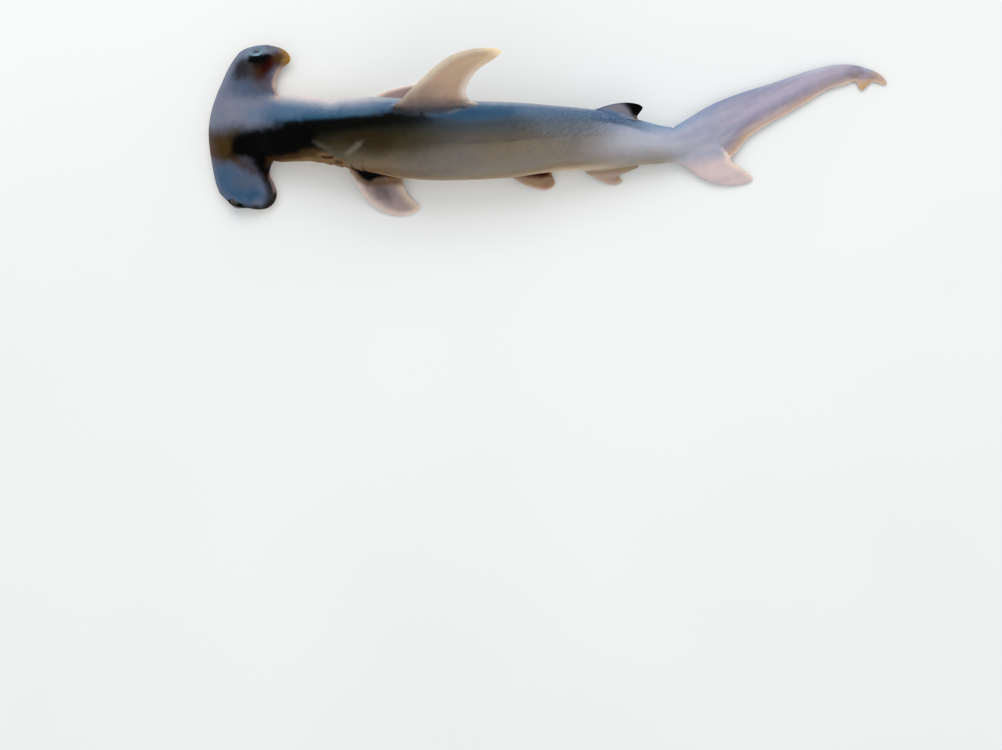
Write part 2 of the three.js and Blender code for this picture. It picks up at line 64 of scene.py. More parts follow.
# Body: [distance from the snout, sideways offset of the axis, half depth, half width,
# roll of the back towards +Y in degrees, lift of the lowest point above the floor]
BODY = [
    [8, 3.2, 3.0, 12.0, 0, 2.4],
    [24, 1.4, 7.2, 17.5, 1, 1.8],
    [38, -0.9, 11.0, 21.0, 2, 1.4],
    [50, -2.6, 14.8, 23.2, 4, 0.9],
    [68, -3.0, 18.8, 22.8, 8, 0.4],
    [79, -3.6, 20.8, 22.4, 11, 0.1],
    [99.5, -5.8, 24.4, 24.0, 18, -0.4],
    [123, -8.3, 27.2, 25.7, 27, -0.8],
    [138.5, -10.5, 28.3, 26.4, 32, -0.9],
    [164, -12.2, 28.8, 26.0, 36, -0.9],
    [192, -12.2, 28.2, 24.9, 40, -0.9],
    [215, -11.9, 27.0, 23.8, 45, -0.4],
    [244, -10.9, 23.6, 20.4, 53, 1.4],
    [273, -11.0, 21.1, 17.3, 63, 1.0],
    [293, -11.5, 18.7, 14.6, 71, 0.4],
    [307, -12.0, 15.6, 12.2, 77, 0.0],
    [330, -12.8, 12.3, 9.4, 86, -0.3],
    [346, -7.5, 11.8, 6.6, 89, 0.6],
    [362, 0.5, 9.0, 4.4, 90, 1.2],
]
NARROW_BACK = 0.1
BODY_RINGS = 262
BODY_SIDES = 112
# Share of the body's rings in front of each place, closer together over the gills
RING_SHARES = [0, 0.17, 0.4, 1]
RING_PLACES = [8, 72, 124, 362]

# Hammer: [distance from the head's midline, distance behind the snout] and the rise over the edge
HEAD_YAW = math.radians(7)
HEAD_OFFSET = 4.5
WINGS = {
    "left": {
        "front": [[0, 0.3], [12, 1.2], [24, 5.2], [36, 8.8], [46, 12.8], [53.4, 18.4], [56.9, 27],
                  [58.2, 40]],
        "rear": [[0, 53], [12, 53], [22, 51], [31, 48], [38, 52.2], [44, 55], [51, 54.4], [55.8, 50.4],
                 [57.8, 45], [58.2, 40]],
        "rise": [[0, 15], [10, 14.4], [20, 12], [30, 9.4], [40, 7.8], [50, 7.2], [59, 7]],
    },
    "right": {
        "front": [[0, 0.3], [12, 0.8], [24, 5.6], [36, 9.4], [46, 14], [53, 19.2], [57, 27], [58.6, 36]],
        "rear": [[0, 53], [14, 52], [24, 48.5], [31, 45.3], [38, 46], [44, 48.8], [49, 53.3], [53.8, 51.8],
                 [57.6, 45], [58.6, 36]],
        "rise": [[0, 15], [10, 14.4], [20, 12], [30, 9.6], [40, 8.2], [46, 7.4], [50, 5.6], [54, 3.4],
                 [59, 0.8]],
    },
}
WING_SECTIONS = 116
SECTION_SIDES = 92
FRONT_FULLNESS = 0.56
REAR_FULLNESS = 0.8
TIP_START = 40
TIP_BLUNTNESS = 3.4
EDGE_HEIGHT = 4.6
WING_BELLY = 4.2
# Rise of the right wing above the floor, and where along it the bend starts and ends
RIGHT_WING_LIFT = 2.2
RIGHT_WING_BEND = (24, 58)

# Eyes
SIDES = {"right": 1, "left": -1}
EYE_BEHIND_SNOUT = {"right": 30.3, "left": 28.5}
EYE_SPAN = {"right": 49.4, "left": 55.1}
EYE_HEIGHT = {"right": 8.2, "left": 6.4}
EYE_FORWARD = math.radians(12)
EYE_TILT = {"right": math.radians(46), "left": math.radians(-4)}
EYE_RADIUS = 5.4
EYE_FLAT = 0.76
MOUND_SIZE = {"right": (8.8, 7.4, 5.8), "left": (8.8, 6.5, 5.6)}
MOUND_INSET = 2.2
LID_RADIUS = 5.3
LID_THICKNESS = 0.72
LID_FORWARD = 2.2
SOCKET_GAP = 0.12
OPENING_SIZE = (4.75, 4.6, 3.2)
OPENING_FORWARD = 3.7

# Nostrils and mouth
NOSTRIL_SPAN = 42.5
NOSTRIL_LENGTH = 7.5
NOSTRIL_INSET = 1.54
NOSTRIL_HEIGHT = 2.2
NOSTRIL_WIDTH = 1.1
NOSTRIL_DEPTH = 1.8
MOUTH_FRONT = 33.6
MOUTH_HALF_WIDTH = 17
MOUTH_SWEEP = 15
MOUTH_WIDTH = 0.5
MOUTH_DEPTH = 1.8
# Lips: distance behind the mouth's line and share of the full rise
LIPS = [(1.6, 1), (-1.5, 0.7)]
LIP_WIDTH = 0.8
LIP_PROUD = 0.5

# Gills
GILL_FIRST = 82
GILL_PITCH = 7.6
GILL_COUNT = 5
GILL_TOP = 80
GILL_BOTTOM = 126
GILL_CURVE = 2.4
FLAP_LENGTH = 6.4
FLAP_EDGE = 0.5
FLAP_PROUD = {"left": [0.5, 0.55, 0.6, 0.6, 0.5], "right": [0.6, 1.3, 0.4, 0.3, 0.3]}
# Distance of a slit's deepest line behind the flap's edge, and of the middle of its fine mesh
SLIT_BEHIND = 0.7
SLIT_MIDDLE = 0.3
SLIT_DEPTH = 1.1
SLIT_WIDTH = 0.36
# The slits are fainter above this stretch of the body's side, in degrees from the back
SLIT_FADE = (92, 112)
SLIT_LEAST = 0.15
# The first flaps have a pale edge: a painted highlight, as these flaps catch the light
LIT_FLAPS = 3

# Hollow of the neck's right edge, over the first slits
HOLLOW_PLACE = 91
HOLLOW_LENGTH = 7
HOLLOW_DEPTH = 2.4
HOLLOW_TILT = (0.1, 0.7)

# Fins: [front edge x, y, z, rear edge x, y, z, thickness], from root to tip
FINS = {
    "first_dorsal_fin": [
        [126, -4, 42, 178, -3, 42, 9],
        [131.4, 2.4, 48, 181.5, 4.9, 48, 6.6],
        [133, 4.2, 49.6, 194.3, 7.6, 50.4, 5.6],
        [141, 9.6, 53, 188.2, 9.8, 52.4, 5],
        [148, 16, 57, 185.6, 14.5, 57, 4.2],
        [156, 22.3, 62, 187.5, 20, 61, 3.5],
        [165, 29.5, 67, 191.5, 25.3, 65, 3],
        [175, 35.5, 71.3, 197, 29.3, 69, 2.4],
        [186.5, 38.8, 74.5, 202.5, 32.2, 71.8, 1.9],
        [197.3, 39.9, 76, 206.8, 34.7, 74, 1.4],
        [205.5, 39.5, 76, 209, 36.6, 75, 1],
        [208.6, 38.6, 75.7, 209.4, 37.5, 75.4, 0.8],
    ],
    "second_dorsal_fin": [
        [268, 0, 23, 290, 0, 20, 5],
        [271.4, 6.2, 26.6, 292.5, 2.8, 25.6, 3.8],
        [273.4, 8.2, 27, 303.8, 1.8, 23.4, 3],
        [279.5, 10.4, 26.2, 304.2, 4.4, 22.8, 2.6],
        [288, 12.9, 25, 305.6, 6.6, 21.8, 2],
        [297, 13.9, 24.2, 307, 8.4, 22.4, 1.5],
        [304, 13.1, 23.6, 308, 10, 22.8, 1],
        [306.8, 12, 23.2, 308.1, 10.8, 23, 0.8],
    ],
    "pectoral_fin_left": [
        [98, -20, 17, 134, -22, 12, 8],
        [101.5, -30.5, 15.4, 139, -33, 9, 5.2],
        [104.4, -37, 12.6, 139.5, -38, 7, 4.4],
        [109, -45, 9, 140.4, -43, 5, 3.6],
        [115, -52.6, 5.8, 142.2, -46.4, 3.4, 3],
        [123, -58.5, 3.4, 145, -50.4, 2.4, 2.4],
        [133, -62.2, 2, 148.4, -53.2, 1.8, 1.8],
        [144.3, -61.7, 1.4, 151, -55.6, 1.4, 1.3],
        [149.6, -58.9, 1.2, 151.6, -56.6, 1.2, 0.9],
    ],
    "pectoral_fin_right": [
        [98, -6, 4.4, 134, -4, 5, 6],
        [101, 3, 3.4, 139, 6, 4.2, 4.4],
        [109, 13, 2.2, 141.5, 12.5, 2.8, 3.4],
        [121, 23.4, 1.6, 145, 19, 1.8, 2.8],
        [133, 28.2, 1.3, 150, 24.4, 1.4, 2.2],
        [146, 31, 1, 155.4, 28.6, 1.1, 1.5],
        [155, 32.2, 0.8, 158, 31, 0.8, 1],
    ],
    "pelvic_fin_left": [
        [212, -26, 12, 241, -22, 10, 5],
        [215, -34.6, 9.6, 244, -29.6, 6, 3.4],
        [224.1, -39.8, 5.8, 245.4, -32.8, 3.6, 2.6],
        [232.7, -42.9, 3, 246.4, -35.6, 2.2, 2],
        [240.4, -44.1, 1.8, 247.4, -38, 1.6, 1.5],
        [245.2, -42.6, 1.2, 247.6, -40.2, 1.2, 0.9],
    ],
    "pelvic_fin_right": [
        [213, -20, 5, 241, -17, 6, 5],
        [216, -17, 2, 244, -14, 2.6, 3],
        [224, -9, 1.3, 247, -7, 1.4, 2.2],
        [233, -3.4, 1, 250, -3, 1, 1.7],
        [242, -0.6, 0.9, 252.4, -0.6, 0.9, 1.2],
        [249, 0.4, 0.8, 253, 0.2, 0.8, 0.9],
    ],
    "anal_fin": [
        [266, -22, 12, 302, -20, 8, 4.4],
        [268, -31, 8.4, 307, -27.2, 5.6, 3],
        [275, -35.4, 5.2, 303, -29.8, 3.6, 2.4],
        [282, -38.6, 3.2, 293.6, -33.4, 2.4, 2],
        [289.6, -40.5, 2, 293.6, -35.2, 1.8, 1.4],
        [294.4, -39.4, 1.2, 296.2, -37.4, 1.2, 0.9],
    ],
    "caudal_upper_lobe": [
        [328, -2, 9.4, 328, -23.6, 9.4, 12],
        [337.5, 3.6, 8.4, 342, -26, 8, 10],
        [347, 9.2, 7.6, 356, -25.4, 6.6, 8.4],
        [361, 17, 6.4, 371.9, -21.8, 5, 7],
        [380, 24.5, 5.2, 385.4, -6.8, 4.2, 5.8],
        [404, 32.2, 4.2, 402, 4, 3.6, 4.8],
        [424, 39.2, 3.6, 422, 15.2, 3, 4],
        [441, 44, 3, 441, 26.6, 2.6, 3.4],
        [454, 45.3, 2.6, 455, 31, 2.2, 2.8],
        [463, 44.4, 2.2, 462, 33.2, 2, 2.4],
        [470, 42.5, 1.9, 466.4, 26.8, 1.6, 2],
        [476, 40.3, 1.7, 473.8, 32.8, 1.6, 1.8],
        [481, 37, 1.5, 480.4, 31.4, 1.4, 1.5],
        [484.4, 33, 1.3, 484, 30.8, 1.2, 1],
    ],
    "caudal_lower_lobe": [
        [330, -16, 9, 362, -8, 6, 8],
        [332.5, -24.4, 8, 369, -18, 5.4, 6],
        [343.4, -29.8, 6, 372.4, -22.6, 4.8, 4.6],
        [351, -35.2, 4.6, 375.6, -26, 4, 3.6],
        [361, -39.4, 3.4, 380.6, -29.4, 3.2, 2.8],
        [371.6, -40.9, 2.4, 385.2, -32.4, 2.4, 2],
        [381, -40, 1.7, 388.4, -35, 1.7, 1.4],
        [386.8, -38.4, 1.3, 388.8, -36.4, 1.3, 0.9],
    ],
}
# Notch of the back before the tail fin: it slants forward down both sides and fades there
PIT_PLACE = 331
PIT_DEPTH = 1.3
PIT_LENGTH = 1.5
PIT_SLANT = 0.06
PIT_SIDES = (46, 20)
FLOOR_GAP = 0.0002
THIN_EDGE = 0.28
# Share of a fin's width that its muscle fills, where it isn't the whole of it
WEB_START = {"caudal_upper_lobe": 0.78}
MUSCLE_LEAD = 0.7
MUSCLE_FULLNESS = 0.75
FIN_CELL = 1.15
# Where the free rear tips start, which hang clear of the body
FREE_TIPS = {"first_dorsal_fin": 184, "second_dorsal_fin": 297, "anal_fin": 292}
PAST_TAIL = 500

# Fillets over the seams: (width of the band, rounds of softening)
FILLETS = {"neck": (12, 110), "mound": (6, 60), "lid": (1.2, 4), "broad_fin": (5, 30), "small_fin": (3, 14)}
BROAD_FINS = ("first_dorsal_fin", "pectoral_fin_left", "caudal_upper_lobe")

# Longest edge of the mesh at each small form, and how far from the form it holds
GILL_SPACING = 0.62
GILL_REACH = 1.7
MOUTH_SPACING = 0.7
MOUTH_REACH = 3.2
NOSTRIL_SPACING = 0.6
NOSTRIL_REACH = 3
EYE_SPACING = 0.85
EYE_REACH = 8.5

# Share of the softening that evens the fine mesh before the small forms are raised on it
FINE_SOFTENING = 0.8
EYE_SOFTENING = 0.15
FINE_ROUNDS = 3
# Behind the snout, where the forms of the body start
BODY_START = (60, 70)


def smoothstep(low, high, value):
    """0 at low and 1 at high, smooth between; high may be the lower of the two."""
    t = np.clip((value - low) / (high - low), 0, 1)
    return t * t * (3 - 2 * t)


def between(value, start, full, fading, end):
    """1 from full to fading, falling smoothly to 0 at the start and at the end."""
    return smoothstep(start, full, value) * smoothstep(end, fading, value)


def bell(distance, width):
    """1 at no distance, falling off evenly on both sides."""
    return np.exp(-((distance / width) ** 2))


def follow(rows, places):
    """Smooth value of every column of a table at many places, by cubic pieces through its rows."""
    rows = np.asarray(rows, float)
    places = np.asarray(places, float)
    last = len(rows) - 1
    index = np.searchsorted(rows[1:last, 0], places, side="left")
    a, b = rows[index], rows[index + 1]
    before, after = rows[np.maximum(index - 1, 0)], rows[np.minimum(index + 2, last)]
    span = b[:, :1] - a[:, :1]
    t = np.clip((places[:, None] - a[:, :1]) / span, 0, 1)
    slope_a = (b - before) / (b[:, :1] - before[:, :1]) * span
    slope_b = (after - a) / (after[:, :1] - a[:, :1]) * span
    return (
        (2 * t**3 - 3 * t**2 + 1) * a + (t**3 - 2 * t**2 + t) * slope_a
        + (3 * t**2 - 2 * t**3) * b + (t**3 - t**2) * slope_b
    )


def body_section(place):
    """Sideways offset, half depth, half width, roll in radians and height of the body's axis."""
    _, sideways, half_depth, half_width, roll, lift = follow(BODY, place).T
    roll = np.radians(roll)
    reach = np.hypot(half_depth * np.cos(roll), half_width * np.sin(roll))
    return sideways, half_depth, half_width, roll, reach + lift


def body_point(place, angle, proud=0.0):
    """Points on the body's skin: angle 0 is the back, a quarter turn the left flank."""
    sideways, half_depth, half_width, roll, height = body_section(place)
    up = (half_depth + proud) * np.cos(angle)
    left = (half_width + proud) * np.sin(angle) * (1 - NARROW_BACK * np.cos(angle))
    return np.stack([
        place,
        sideways + up * np.sin(roll) - left * np.cos(roll),
        height + up * np.cos(roll) + left * np.sin(roll),
    ], 1)


def body_polar(points):
    """Angle round the body in degrees, and distance from its axis as a share of its radius."""
    sideways, half_depth, half_width, roll, height = body_section(points[:, 0])
    aside, rise = points[:, 1] - sideways, points[:, 2] - height
    up = (aside * np.sin(roll) + rise * np.cos(roll)) / half_depth
    left = (rise * np.sin(roll) - aside * np.cos(roll)) / half_width
    angle = np.arctan2(left, up)
    return np.degrees(angle), np.hypot(up, left)


def head_point(span, back, height):
    """Points of the head's own plan, turned and set in the shark's frame."""
    across = span + HEAD_OFFSET
    return np.stack([
        across * math.sin(HEAD_YAW) + back * math.cos(HEAD_YAW),
        across * math.cos(HEAD_YAW) - back * math.sin(HEAD_YAW),
        height,
    ], 1)


def head_plan(points):
    """Span from the head's midline and distance behind the snout."""
    across = points[:, 0] * math.sin(HEAD_YAW) + points[:, 1] * math.cos(HEAD_YAW)
    back = points[:, 0] * math.cos(HEAD_YAW) - points[:, 1] * math.sin(HEAD_YAW)
    return across - HEAD_OFFSET, back


def wing_lift(span):
    return RIGHT_WING_LIFT * smoothstep(*RIGHT_WING_BEND, span)


def hammer_point(along, around):
    """The hammer's skin: from one wing's end to the other, and round each section from the front edge."""
    side = along * 2 - 1
    share = np.abs(side)
    top = around < 0.5
    turn = np.where(top, around, 1 - around) * 2
    chord = (1 - np.cos(turn * math.pi)) / 2
    fullness = np.where(chord < 0.5, FRONT_FULLNESS, REAR_FULLNESS)
    swell = np.clip(1 - (2 * chord - 1) ** 2, 0, 1) ** fullness
    result = np.zeros((len(along), 3))
    for name, mask in (("left", side < 0), ("right", side >= 0)):
        wing = WINGS[name]
        tip = wing["front"][-1][0]
        reach = np.sin(share[mask] * math.pi / 2) * tip
        front = follow(wing["front"], reach)[:, 1]
        rear = follow(wing["rear"], reach)[:, 1]
        rise = follow(wing["rise"], reach)[:, 1]
        to_tip = np.clip((reach - TIP_START) / (tip - TIP_START), 0, 1)
        full = (1 - to_tip**TIP_BLUNTNESS) ** (1 / TIP_BLUNTNESS)
        span = np.sign(side[mask]) * reach
        height = np.where(top[mask], rise, -WING_BELLY) * full * swell[mask]
        back = front + (rear - front) * chord[mask]
        result[mask] = head_point(span, back, EDGE_HEIGHT + wing_lift(span) + height)
    return result


def eye_direction(side):
    turn = HEAD_YAW - EYE_FORWARD * SIDES[side]
    flat = math.cos(EYE_TILT[side]) * SIDES[side]
    return Vector((math.sin(turn) * flat, math.cos(turn) * flat, math.sin(EYE_TILT[side])))


def eye_centre(side):
    span = np.array([EYE_SPAN[side] * SIDES[side]])
    return Vector(head_point(span, EYE_BEHIND_SNOUT[side], EYE_HEIGHT[side] + wing_lift(span))[0])


def eye_polar(points, side):
    """Distance ahead of an eye's centre, the way that it looks, and aside of that line."""
    offset = points - np.array(eye_centre(side))
    gaze = np.array(eye_direction(side))
    ahead = offset @ gaze
    return ahead, np.linalg.norm(offset - ahead[:, None] * gaze, axis=1)


def eye_distance(points):
    """Distance from the nearer eye's centre."""
    return np.minimum(*[np.linalg.norm(points - np.array(eye_centre(side)), axis=1) for side in SIDES])


# The shark's frame in the model's, from the eye, which both have
eye_low, eye_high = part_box("eye_right")
SHIFT = np.array((eye_low + eye_high) / 2) / MM - np.array(eye_centre("right"))


def to_model(points):
    return (points + SHIFT) * MM


def to_shark(points):
    return points / MM - SHIFT


def from_above(points):
    """Where the camera sees each point against the floor."""
    scale = CAMERA[2] / (CAMERA[2] - points[:, 2])
    return np.array(CAMERA[:2]) + (points[:, :2] - CAMERA[:2]) * scale[:, None]


def on_floor(pixels):
    """Places on the floor of places in the picture, to half a millimetre, which is less than a pixel."""
    places = np.array(CAMERA[:2]) + (np.array(pixels) - PICTURE_MIDDLE) * (PIXEL, -PIXEL)
    return np.round(places * 2) / 2


def points_of(mesh):
    flat = np.empty(len(mesh.vertices) * 3)
    mesh.vertices.foreach_get("co", flat)
    return flat.reshape(-1, 3)


def normals_of(mesh):
    flat = np.empty(len(mesh.vertices) * 3)
    mesh.vertices.foreach_get("normal", flat)
    return flat.reshape(-1, 3)


def made_object(name, form):
    """Object from a bmesh, linked to the scene, with faces that point outwards."""
    bmesh.ops.recalc_face_normals(form, faces=form.faces)
    mesh = bpy.data.meshes.new(name)
    form.to_mesh(mesh)
    form.free()
    made = bpy.data.objects.new(name, mesh)
    bpy.context.scene.collection.objects.link(made)
    return made


def tube(name, lengthways, around, place_at):
    """Closed form from a grid: place_at gives the points from two shares, along and around."""
    form = bmesh.new()
    bmesh.ops.create_grid(form, x_segments=lengthways, y_segments=around, size=1)
    shares = np.array([vertex.co[:2] for vertex in form.verts])
    shares = np.clip((shares - shares.min(0)) / (shares.max(0) - shares.min(0)), 0, 1)
    for vertex, point in zip(form.verts, to_model(place_at(shares[:, 0], shares[:, 1]))):
        vertex.co = point
    bmesh.ops.remove_doubles(form, verts=form.verts, dist=MERGE_DISTANCE)
    bmesh.ops.dissolve_degenerate(form, edges=form.edges, dist=MERGE_DISTANCE)
    open_edges = [edge for edge in form.edges if edge.is_boundary]
    bmesh.ops.holes_fill(form, edges=open_edges)
    return made_object(name, form)


def body_at(along, around):
    place = np.interp(along, RING_SHARES, RING_PLACES)
    return body_point(place, around * 2 * math.pi)


def fin_frame(rows, along):
    """Front edge, rear edge and thickness of a fin at shares of its rows."""
    values = follow([[index, *row] for index, row in enumerate(rows)], along * (len(rows) - 1))
    return values[:, 1:4], values[:, 4:7], values[:, 7]


def fin_point(rows, muscle):
    """Maker of a fin's points, with a round thin edge."""
    small = 0.02

    def place_at(along, around):
        lead, trail, thickness = fin_frame(rows, along)
        before, after = [fin_frame(rows, np.clip(along + step, 0, 1)) for step in (-small, small)]
        chord = trail - lead
        growth = after[0] + after[1] - before[0] - before[1]
        normal = np.cross(chord, growth)
        normal /= np.linalg.norm(normal, axis=1)[:, None]
        top = around < 0.5
        turn = np.where(top, around, 1 - around) * 2
        share = (1 - np.cos(turn * math.pi)) / 2
        in_muscle = np.minimum(1, share / muscle)
        full = np.sin(math.pi * in_muscle**MUSCLE_LEAD).clip(0) ** MUSCLE_FULLNESS
        half = np.maximum(np.minimum(THIN_EDGE, thickness / 2), full * thickness / 2)
        to_edge = np.minimum(share, 1 - share) * np.linalg.norm(chord, axis=1)
        half = half * np.sqrt(np.clip(1 - (1 - np.minimum(to_edge / THIN_EDGE, 1)) ** 2, 0, 1))
        return lead + chord * share[:, None] + normal * (half * np.where(top, 1, -1))[:, None]

    return place_at


def fin_counts(rows):
    """Faces along and round a fin, for cells of about the same size."""
    frames = np.array(rows, float)
    middle = (frames[:, :3] + frames[:, 3:6]) / 2
    length = np.linalg.norm(np.diff(middle, axis=0), axis=1).sum()
    width = np.linalg.norm(frames[:, 3:6] - frames[:, :3], axis=1).max()
    return round(length / FIN_CELL), 2 * round(width / FIN_CELL)


def eye_matrix(side, forward):
    """Place and turn of a form that was made round +Z, at an eye."""
    direction = eye_direction(side)
    turn = Vector((0, 0, 1)).rotation_difference(direction).to_matrix().to_4x4()
    place = Vector(to_model(np.array([eye_centre(side) + direction * forward]))[0])
    return Matrix.Translation(place) @ turn


def eye_ball(name, side, size, forward, segments=48):
    """Ball at an eye, flattened the way that the eye looks."""
    form = bmesh.new()
    bmesh.ops.create_uvsphere(form, u_segments=segments, v_segments=segments // 2, radius=1)
    bmesh.ops.scale(form, vec=Vector(size) * MM, verts=form.verts)
    bmesh.ops.transform(form, matrix=eye_matrix(side, forward), verts=form.verts)
    return made_object(name, form)


def lid_ring(side):
    """The rim of an eye: a small circle spun round the way that the eye looks."""
    form = bmesh.new()
    ring = bmesh.ops.create_circle(form, segments=14, radius=LID_THICKNESS * MM)["verts"]
    bmesh.ops.rotate(form, matrix=Matrix.Rotation(math.pi / 2, 3, "X"), verts=ring)
    bmesh.ops.translate(form, vec=(LID_RADIUS * MM, 0, 0), verts=ring)
    bmesh.ops.spin(form, geom=form.verts[:] + form.edges[:], cent=(0, 0, 0), axis=(0, 0, 1),
                   angle=2 * math.pi, steps=56, use_merge=True)
    bmesh.ops.transform(form, matrix=eye_matrix(side, LID_FORWARD), verts=form.verts)
    return made_object(f"lid_{side}", form)


def combined(base, others, operation):
    """Joins the others to the base or cuts them from it, as one closed mesh."""
    for other in others:
        modifier = base.modifiers.new(other.name, "BOOLEAN")
        modifier.operation = operation
        modifier.solver = "MANIFOLD"
        modifier.object = other
    bpy.context.view_layer.update()
    graph = bpy.context.evaluated_depsgraph_get()
    mesh = bpy.data.meshes.new_from_object(base.evaluated_get(graph))
    base.modifiers.clear()
    base.data = mesh


def nearness(points, form, band):
    """Distance of each point from a form's surface, up to the band."""
    graph = bpy.context.evaluated_depsgraph_get()
    tree = BVHTree.FromObject(form, graph)
    shape = points_of(form.data)
    low, high = shape.min(0) - band, shape.max(0) + band
    distance = np.full(len(points), 2 * band)
    for index in np.flatnonzero(((points > low) & (points < high)).all(1)):
        found = tree.find_nearest(Vector(points[index]), band)
        if found[0] is not None:
            distance[index] = found[3]
    return distance


def soften(points, pairs, weights, rounds):
    """Points drawn towards the mean of their neighbours, each by its own weight."""
    count = len(points)
    ends = np.concatenate([pairs[:, 0], pairs[:, 1]])
    others = np.concatenate([pairs[:, 1], pairs[:, 0]])
    keep = weights[ends] > 0
    ends, others = ends[keep], others[keep]
    degree = np.maximum(np.bincount(ends, minlength=count), 1)
    for _ in range(rounds):
        total = np.stack([np.bincount(ends, points[others, axis], count) for axis in range(3)], 1)
        points = points + (total / degree[:, None] - points) * (0.5 * weights)[:, None]
    return points


def pairs_of(mesh):
    flat = np.empty(len(mesh.edges) * 2, int)
    mesh.edges.foreach_get("vertices", flat)
    return flat.reshape(-1, 2)


def seam_weights(points, form, other, band):
    """1 where two forms meet, falling to 0 at the band's distance from either, in millimetres."""
    distance = np.maximum(nearness(points, form, band * MM), nearness(points, other, band * MM)) / MM
    return 1 - smoothstep(0.3 * band, band, distance)


def gill_marks(points):
    """Distances behind the nearest slit and the next one, the slit's number and how much of it shows."""
    angle, share = body_polar(points)
    turn = (np.abs(angle) - GILL_TOP) / (GILL_BOTTOM - GILL_TOP)
    window = between(turn, -0.05, 0.12, 0.88, 1.05) * smoothstep(0.8, 0.9, share)
    bow = GILL_CURVE * (2 * turn - 1) ** 2
    behind = np.array([points[:, 0] - (GILL_FIRST + index * GILL_PITCH + bow) for index in range(GILL_COUNT)])
    nearest = np.abs(behind - SLIT_MIDDLE).argmin(0)
    # A point in front of its nearest slit belongs to that slit's flap
    chosen = np.take_along_axis(behind, nearest[None], 0)[0]
    following = np.take_along_axis(behind, np.minimum(nearest + 1, GILL_COUNT - 1)[None], 0)[0]
    return chosen, following, nearest, window


def mouth_marks(points, normals):
    """Distance behind the mouth's line, how much of it shows, and the share of its half width."""
    span, back = head_plan(points)
    across = np.clip(np.abs(span) / MOUTH_HALF_WIDTH, 0, 1.4)
    slope = 2 * MOUTH_SWEEP * across / MOUTH_HALF_WIDTH
    behind = (back - MOUTH_FRONT - MOUTH_SWEEP * across**2) / np.hypot(1, slope)
    under = smoothstep(0.1, -0.4, normals[:, 2]) * smoothstep(9, 6, points[:, 2])
    return behind, under * smoothstep(1.04, 0.94, across), across


def nostril_marks(points):
    """Distance from the nearest nostril's slot."""
    span, back = head_plan(points)
    distance = np.full(len(points), FAR)
    half = NOSTRIL_LENGTH / 2
    for side, sign in SIDES.items():
        close = np.abs(span * sign - NOSTRIL_SPAN) < NOSTRIL_LENGTH
        reach = np.clip(span[close] * sign, NOSTRIL_SPAN - half, NOSTRIL_SPAN + half)
        slot_back = follow(WINGS[side]["front"], reach)[:, 1] + NOSTRIL_INSET
        height = NOSTRIL_HEIGHT + wing_lift(np.array([NOSTRIL_SPAN * sign]))[0]
        level = np.hypot(span[close] * sign - reach, back[close] - slot_back)
        distance[close] = np.hypot(level, points[close, 2] - height)
    return distance


def wanted_spacing(points):
    """Longest edge allowed at each point, shorter where a small form follows."""
    spacing = np.full(len(points), FAR)
    behind, _, _, window = gill_marks(points)
    spacing[(window > 0) & (np.abs(behind - SLIT_MIDDLE) < GILL_REACH)] = GILL_SPACING
    down = np.tile([0.0, 0.0, -1.0], (len(points), 1))
    behind, window, _ = mouth_marks(points, down)
    spacing[(window > 0) & (np.abs(behind) < MOUTH_REACH)] = MOUTH_SPACING
    spacing[nostril_marks(points) < NOSTRIL_REACH] = NOSTRIL_SPACING
    spacing[eye_distance(points) < EYE_REACH] = EYE_SPACING
    return spacing


def refined(form, rounds=3):
    """Splits long edges where small forms follow."""
    bmesh.ops.triangulate(form, faces=[face for face in form.faces if len(face.verts) > 3])
    for _ in range(rounds):
        ends = np.array([(edge.verts[0].co[:], edge.verts[1].co[:]) for edge in form.edges])
        length = np.linalg.norm(ends[:, 0] - ends[:, 1], axis=1) / MM
        wanted = wanted_spacing(to_shark(ends.mean(1)))
        long_edges = [edge for edge, split in zip(form.edges[:], length > wanted) if split]
        bmesh.ops.subdivide_edges(form, edges=long_edges, cuts=1)
        bmesh.ops.triangulate(form, faces=[face for face in form.faces if len(face.verts) > 3])


# The parts that make the skin
body = tube("body", BODY_RINGS, BODY_SIDES, body_at)
hammer = tube("hammer", WING_SECTIONS, SECTION_SIDES, hammer_point)
mounds = [eye_ball(f"mound_{side}", side, MOUND_SIZE[side], -MOUND_INSET) for side in SIDES]
lids = [lid_ring(side) for side in SIDES]
fins = {
    name: tube(name, *fin_counts(rows), fin_point(rows, WEB_START.get(name, 1)))
    for name, rows in FINS.items()
}
skin = made_object("shark_skin", bmesh.new())
skin.data = body.data.copy()
combined(skin, [hammer, *mounds, *lids, *fins.values()], "UNION")

# The seams are softened into fillets: [form, other form, fillet, where it ends behind the snout]
seams = [[hammer, body, "neck", PAST_TAIL]]
for mound, lid in zip(mounds, lids):
    seams.append([mound, hammer, "mound", PAST_TAIL])
    seams += [[lid, form, "lid", PAST_TAIL] for form in (mound, hammer)]
for name, form in fins.items():
    fillet = "broad_fin" if name in BROAD_FINS else "small_fin"
    seams.append([form, body, fillet, FREE_TIPS.get(name, PAST_TAIL)])
seams.append([fins["caudal_lower_lobe"], fins["caudal_upper_lobe"], "broad_fin", PAST_TAIL])
points = points_of(skin.data)
pairs = pairs_of(skin.data)
places = to_shark(points)[:, 0]
weights = []
for form, other, fillet, end in seams:
    band, _ = FILLETS[fillet]
    weights.append(seam_weights(points, form, other, band) * smoothstep(end + 1, end - 4, places))
for weight, (_, _, fillet, _) in zip(weights, seams):
    _, rounds = FILLETS[fillet]
    points = soften(points, pairs, weight, rounds)
skin.data.vertices.foreach_set("co", points.ravel())

sockets = []
for side in SIDES:
    room = EYE_RADIUS + SOCKET_GAP
    sockets.append(eye_ball(f"room_{side}", side, (room, room, EYE_RADIUS * EYE_FLAT + SOCKET_GAP), 0))
    sockets.append(eye_ball(f"opening_{side}", side, OPENING_SIZE, OPENING_FORWARD))
combined(skin, sockets, "DIFFERENCE")

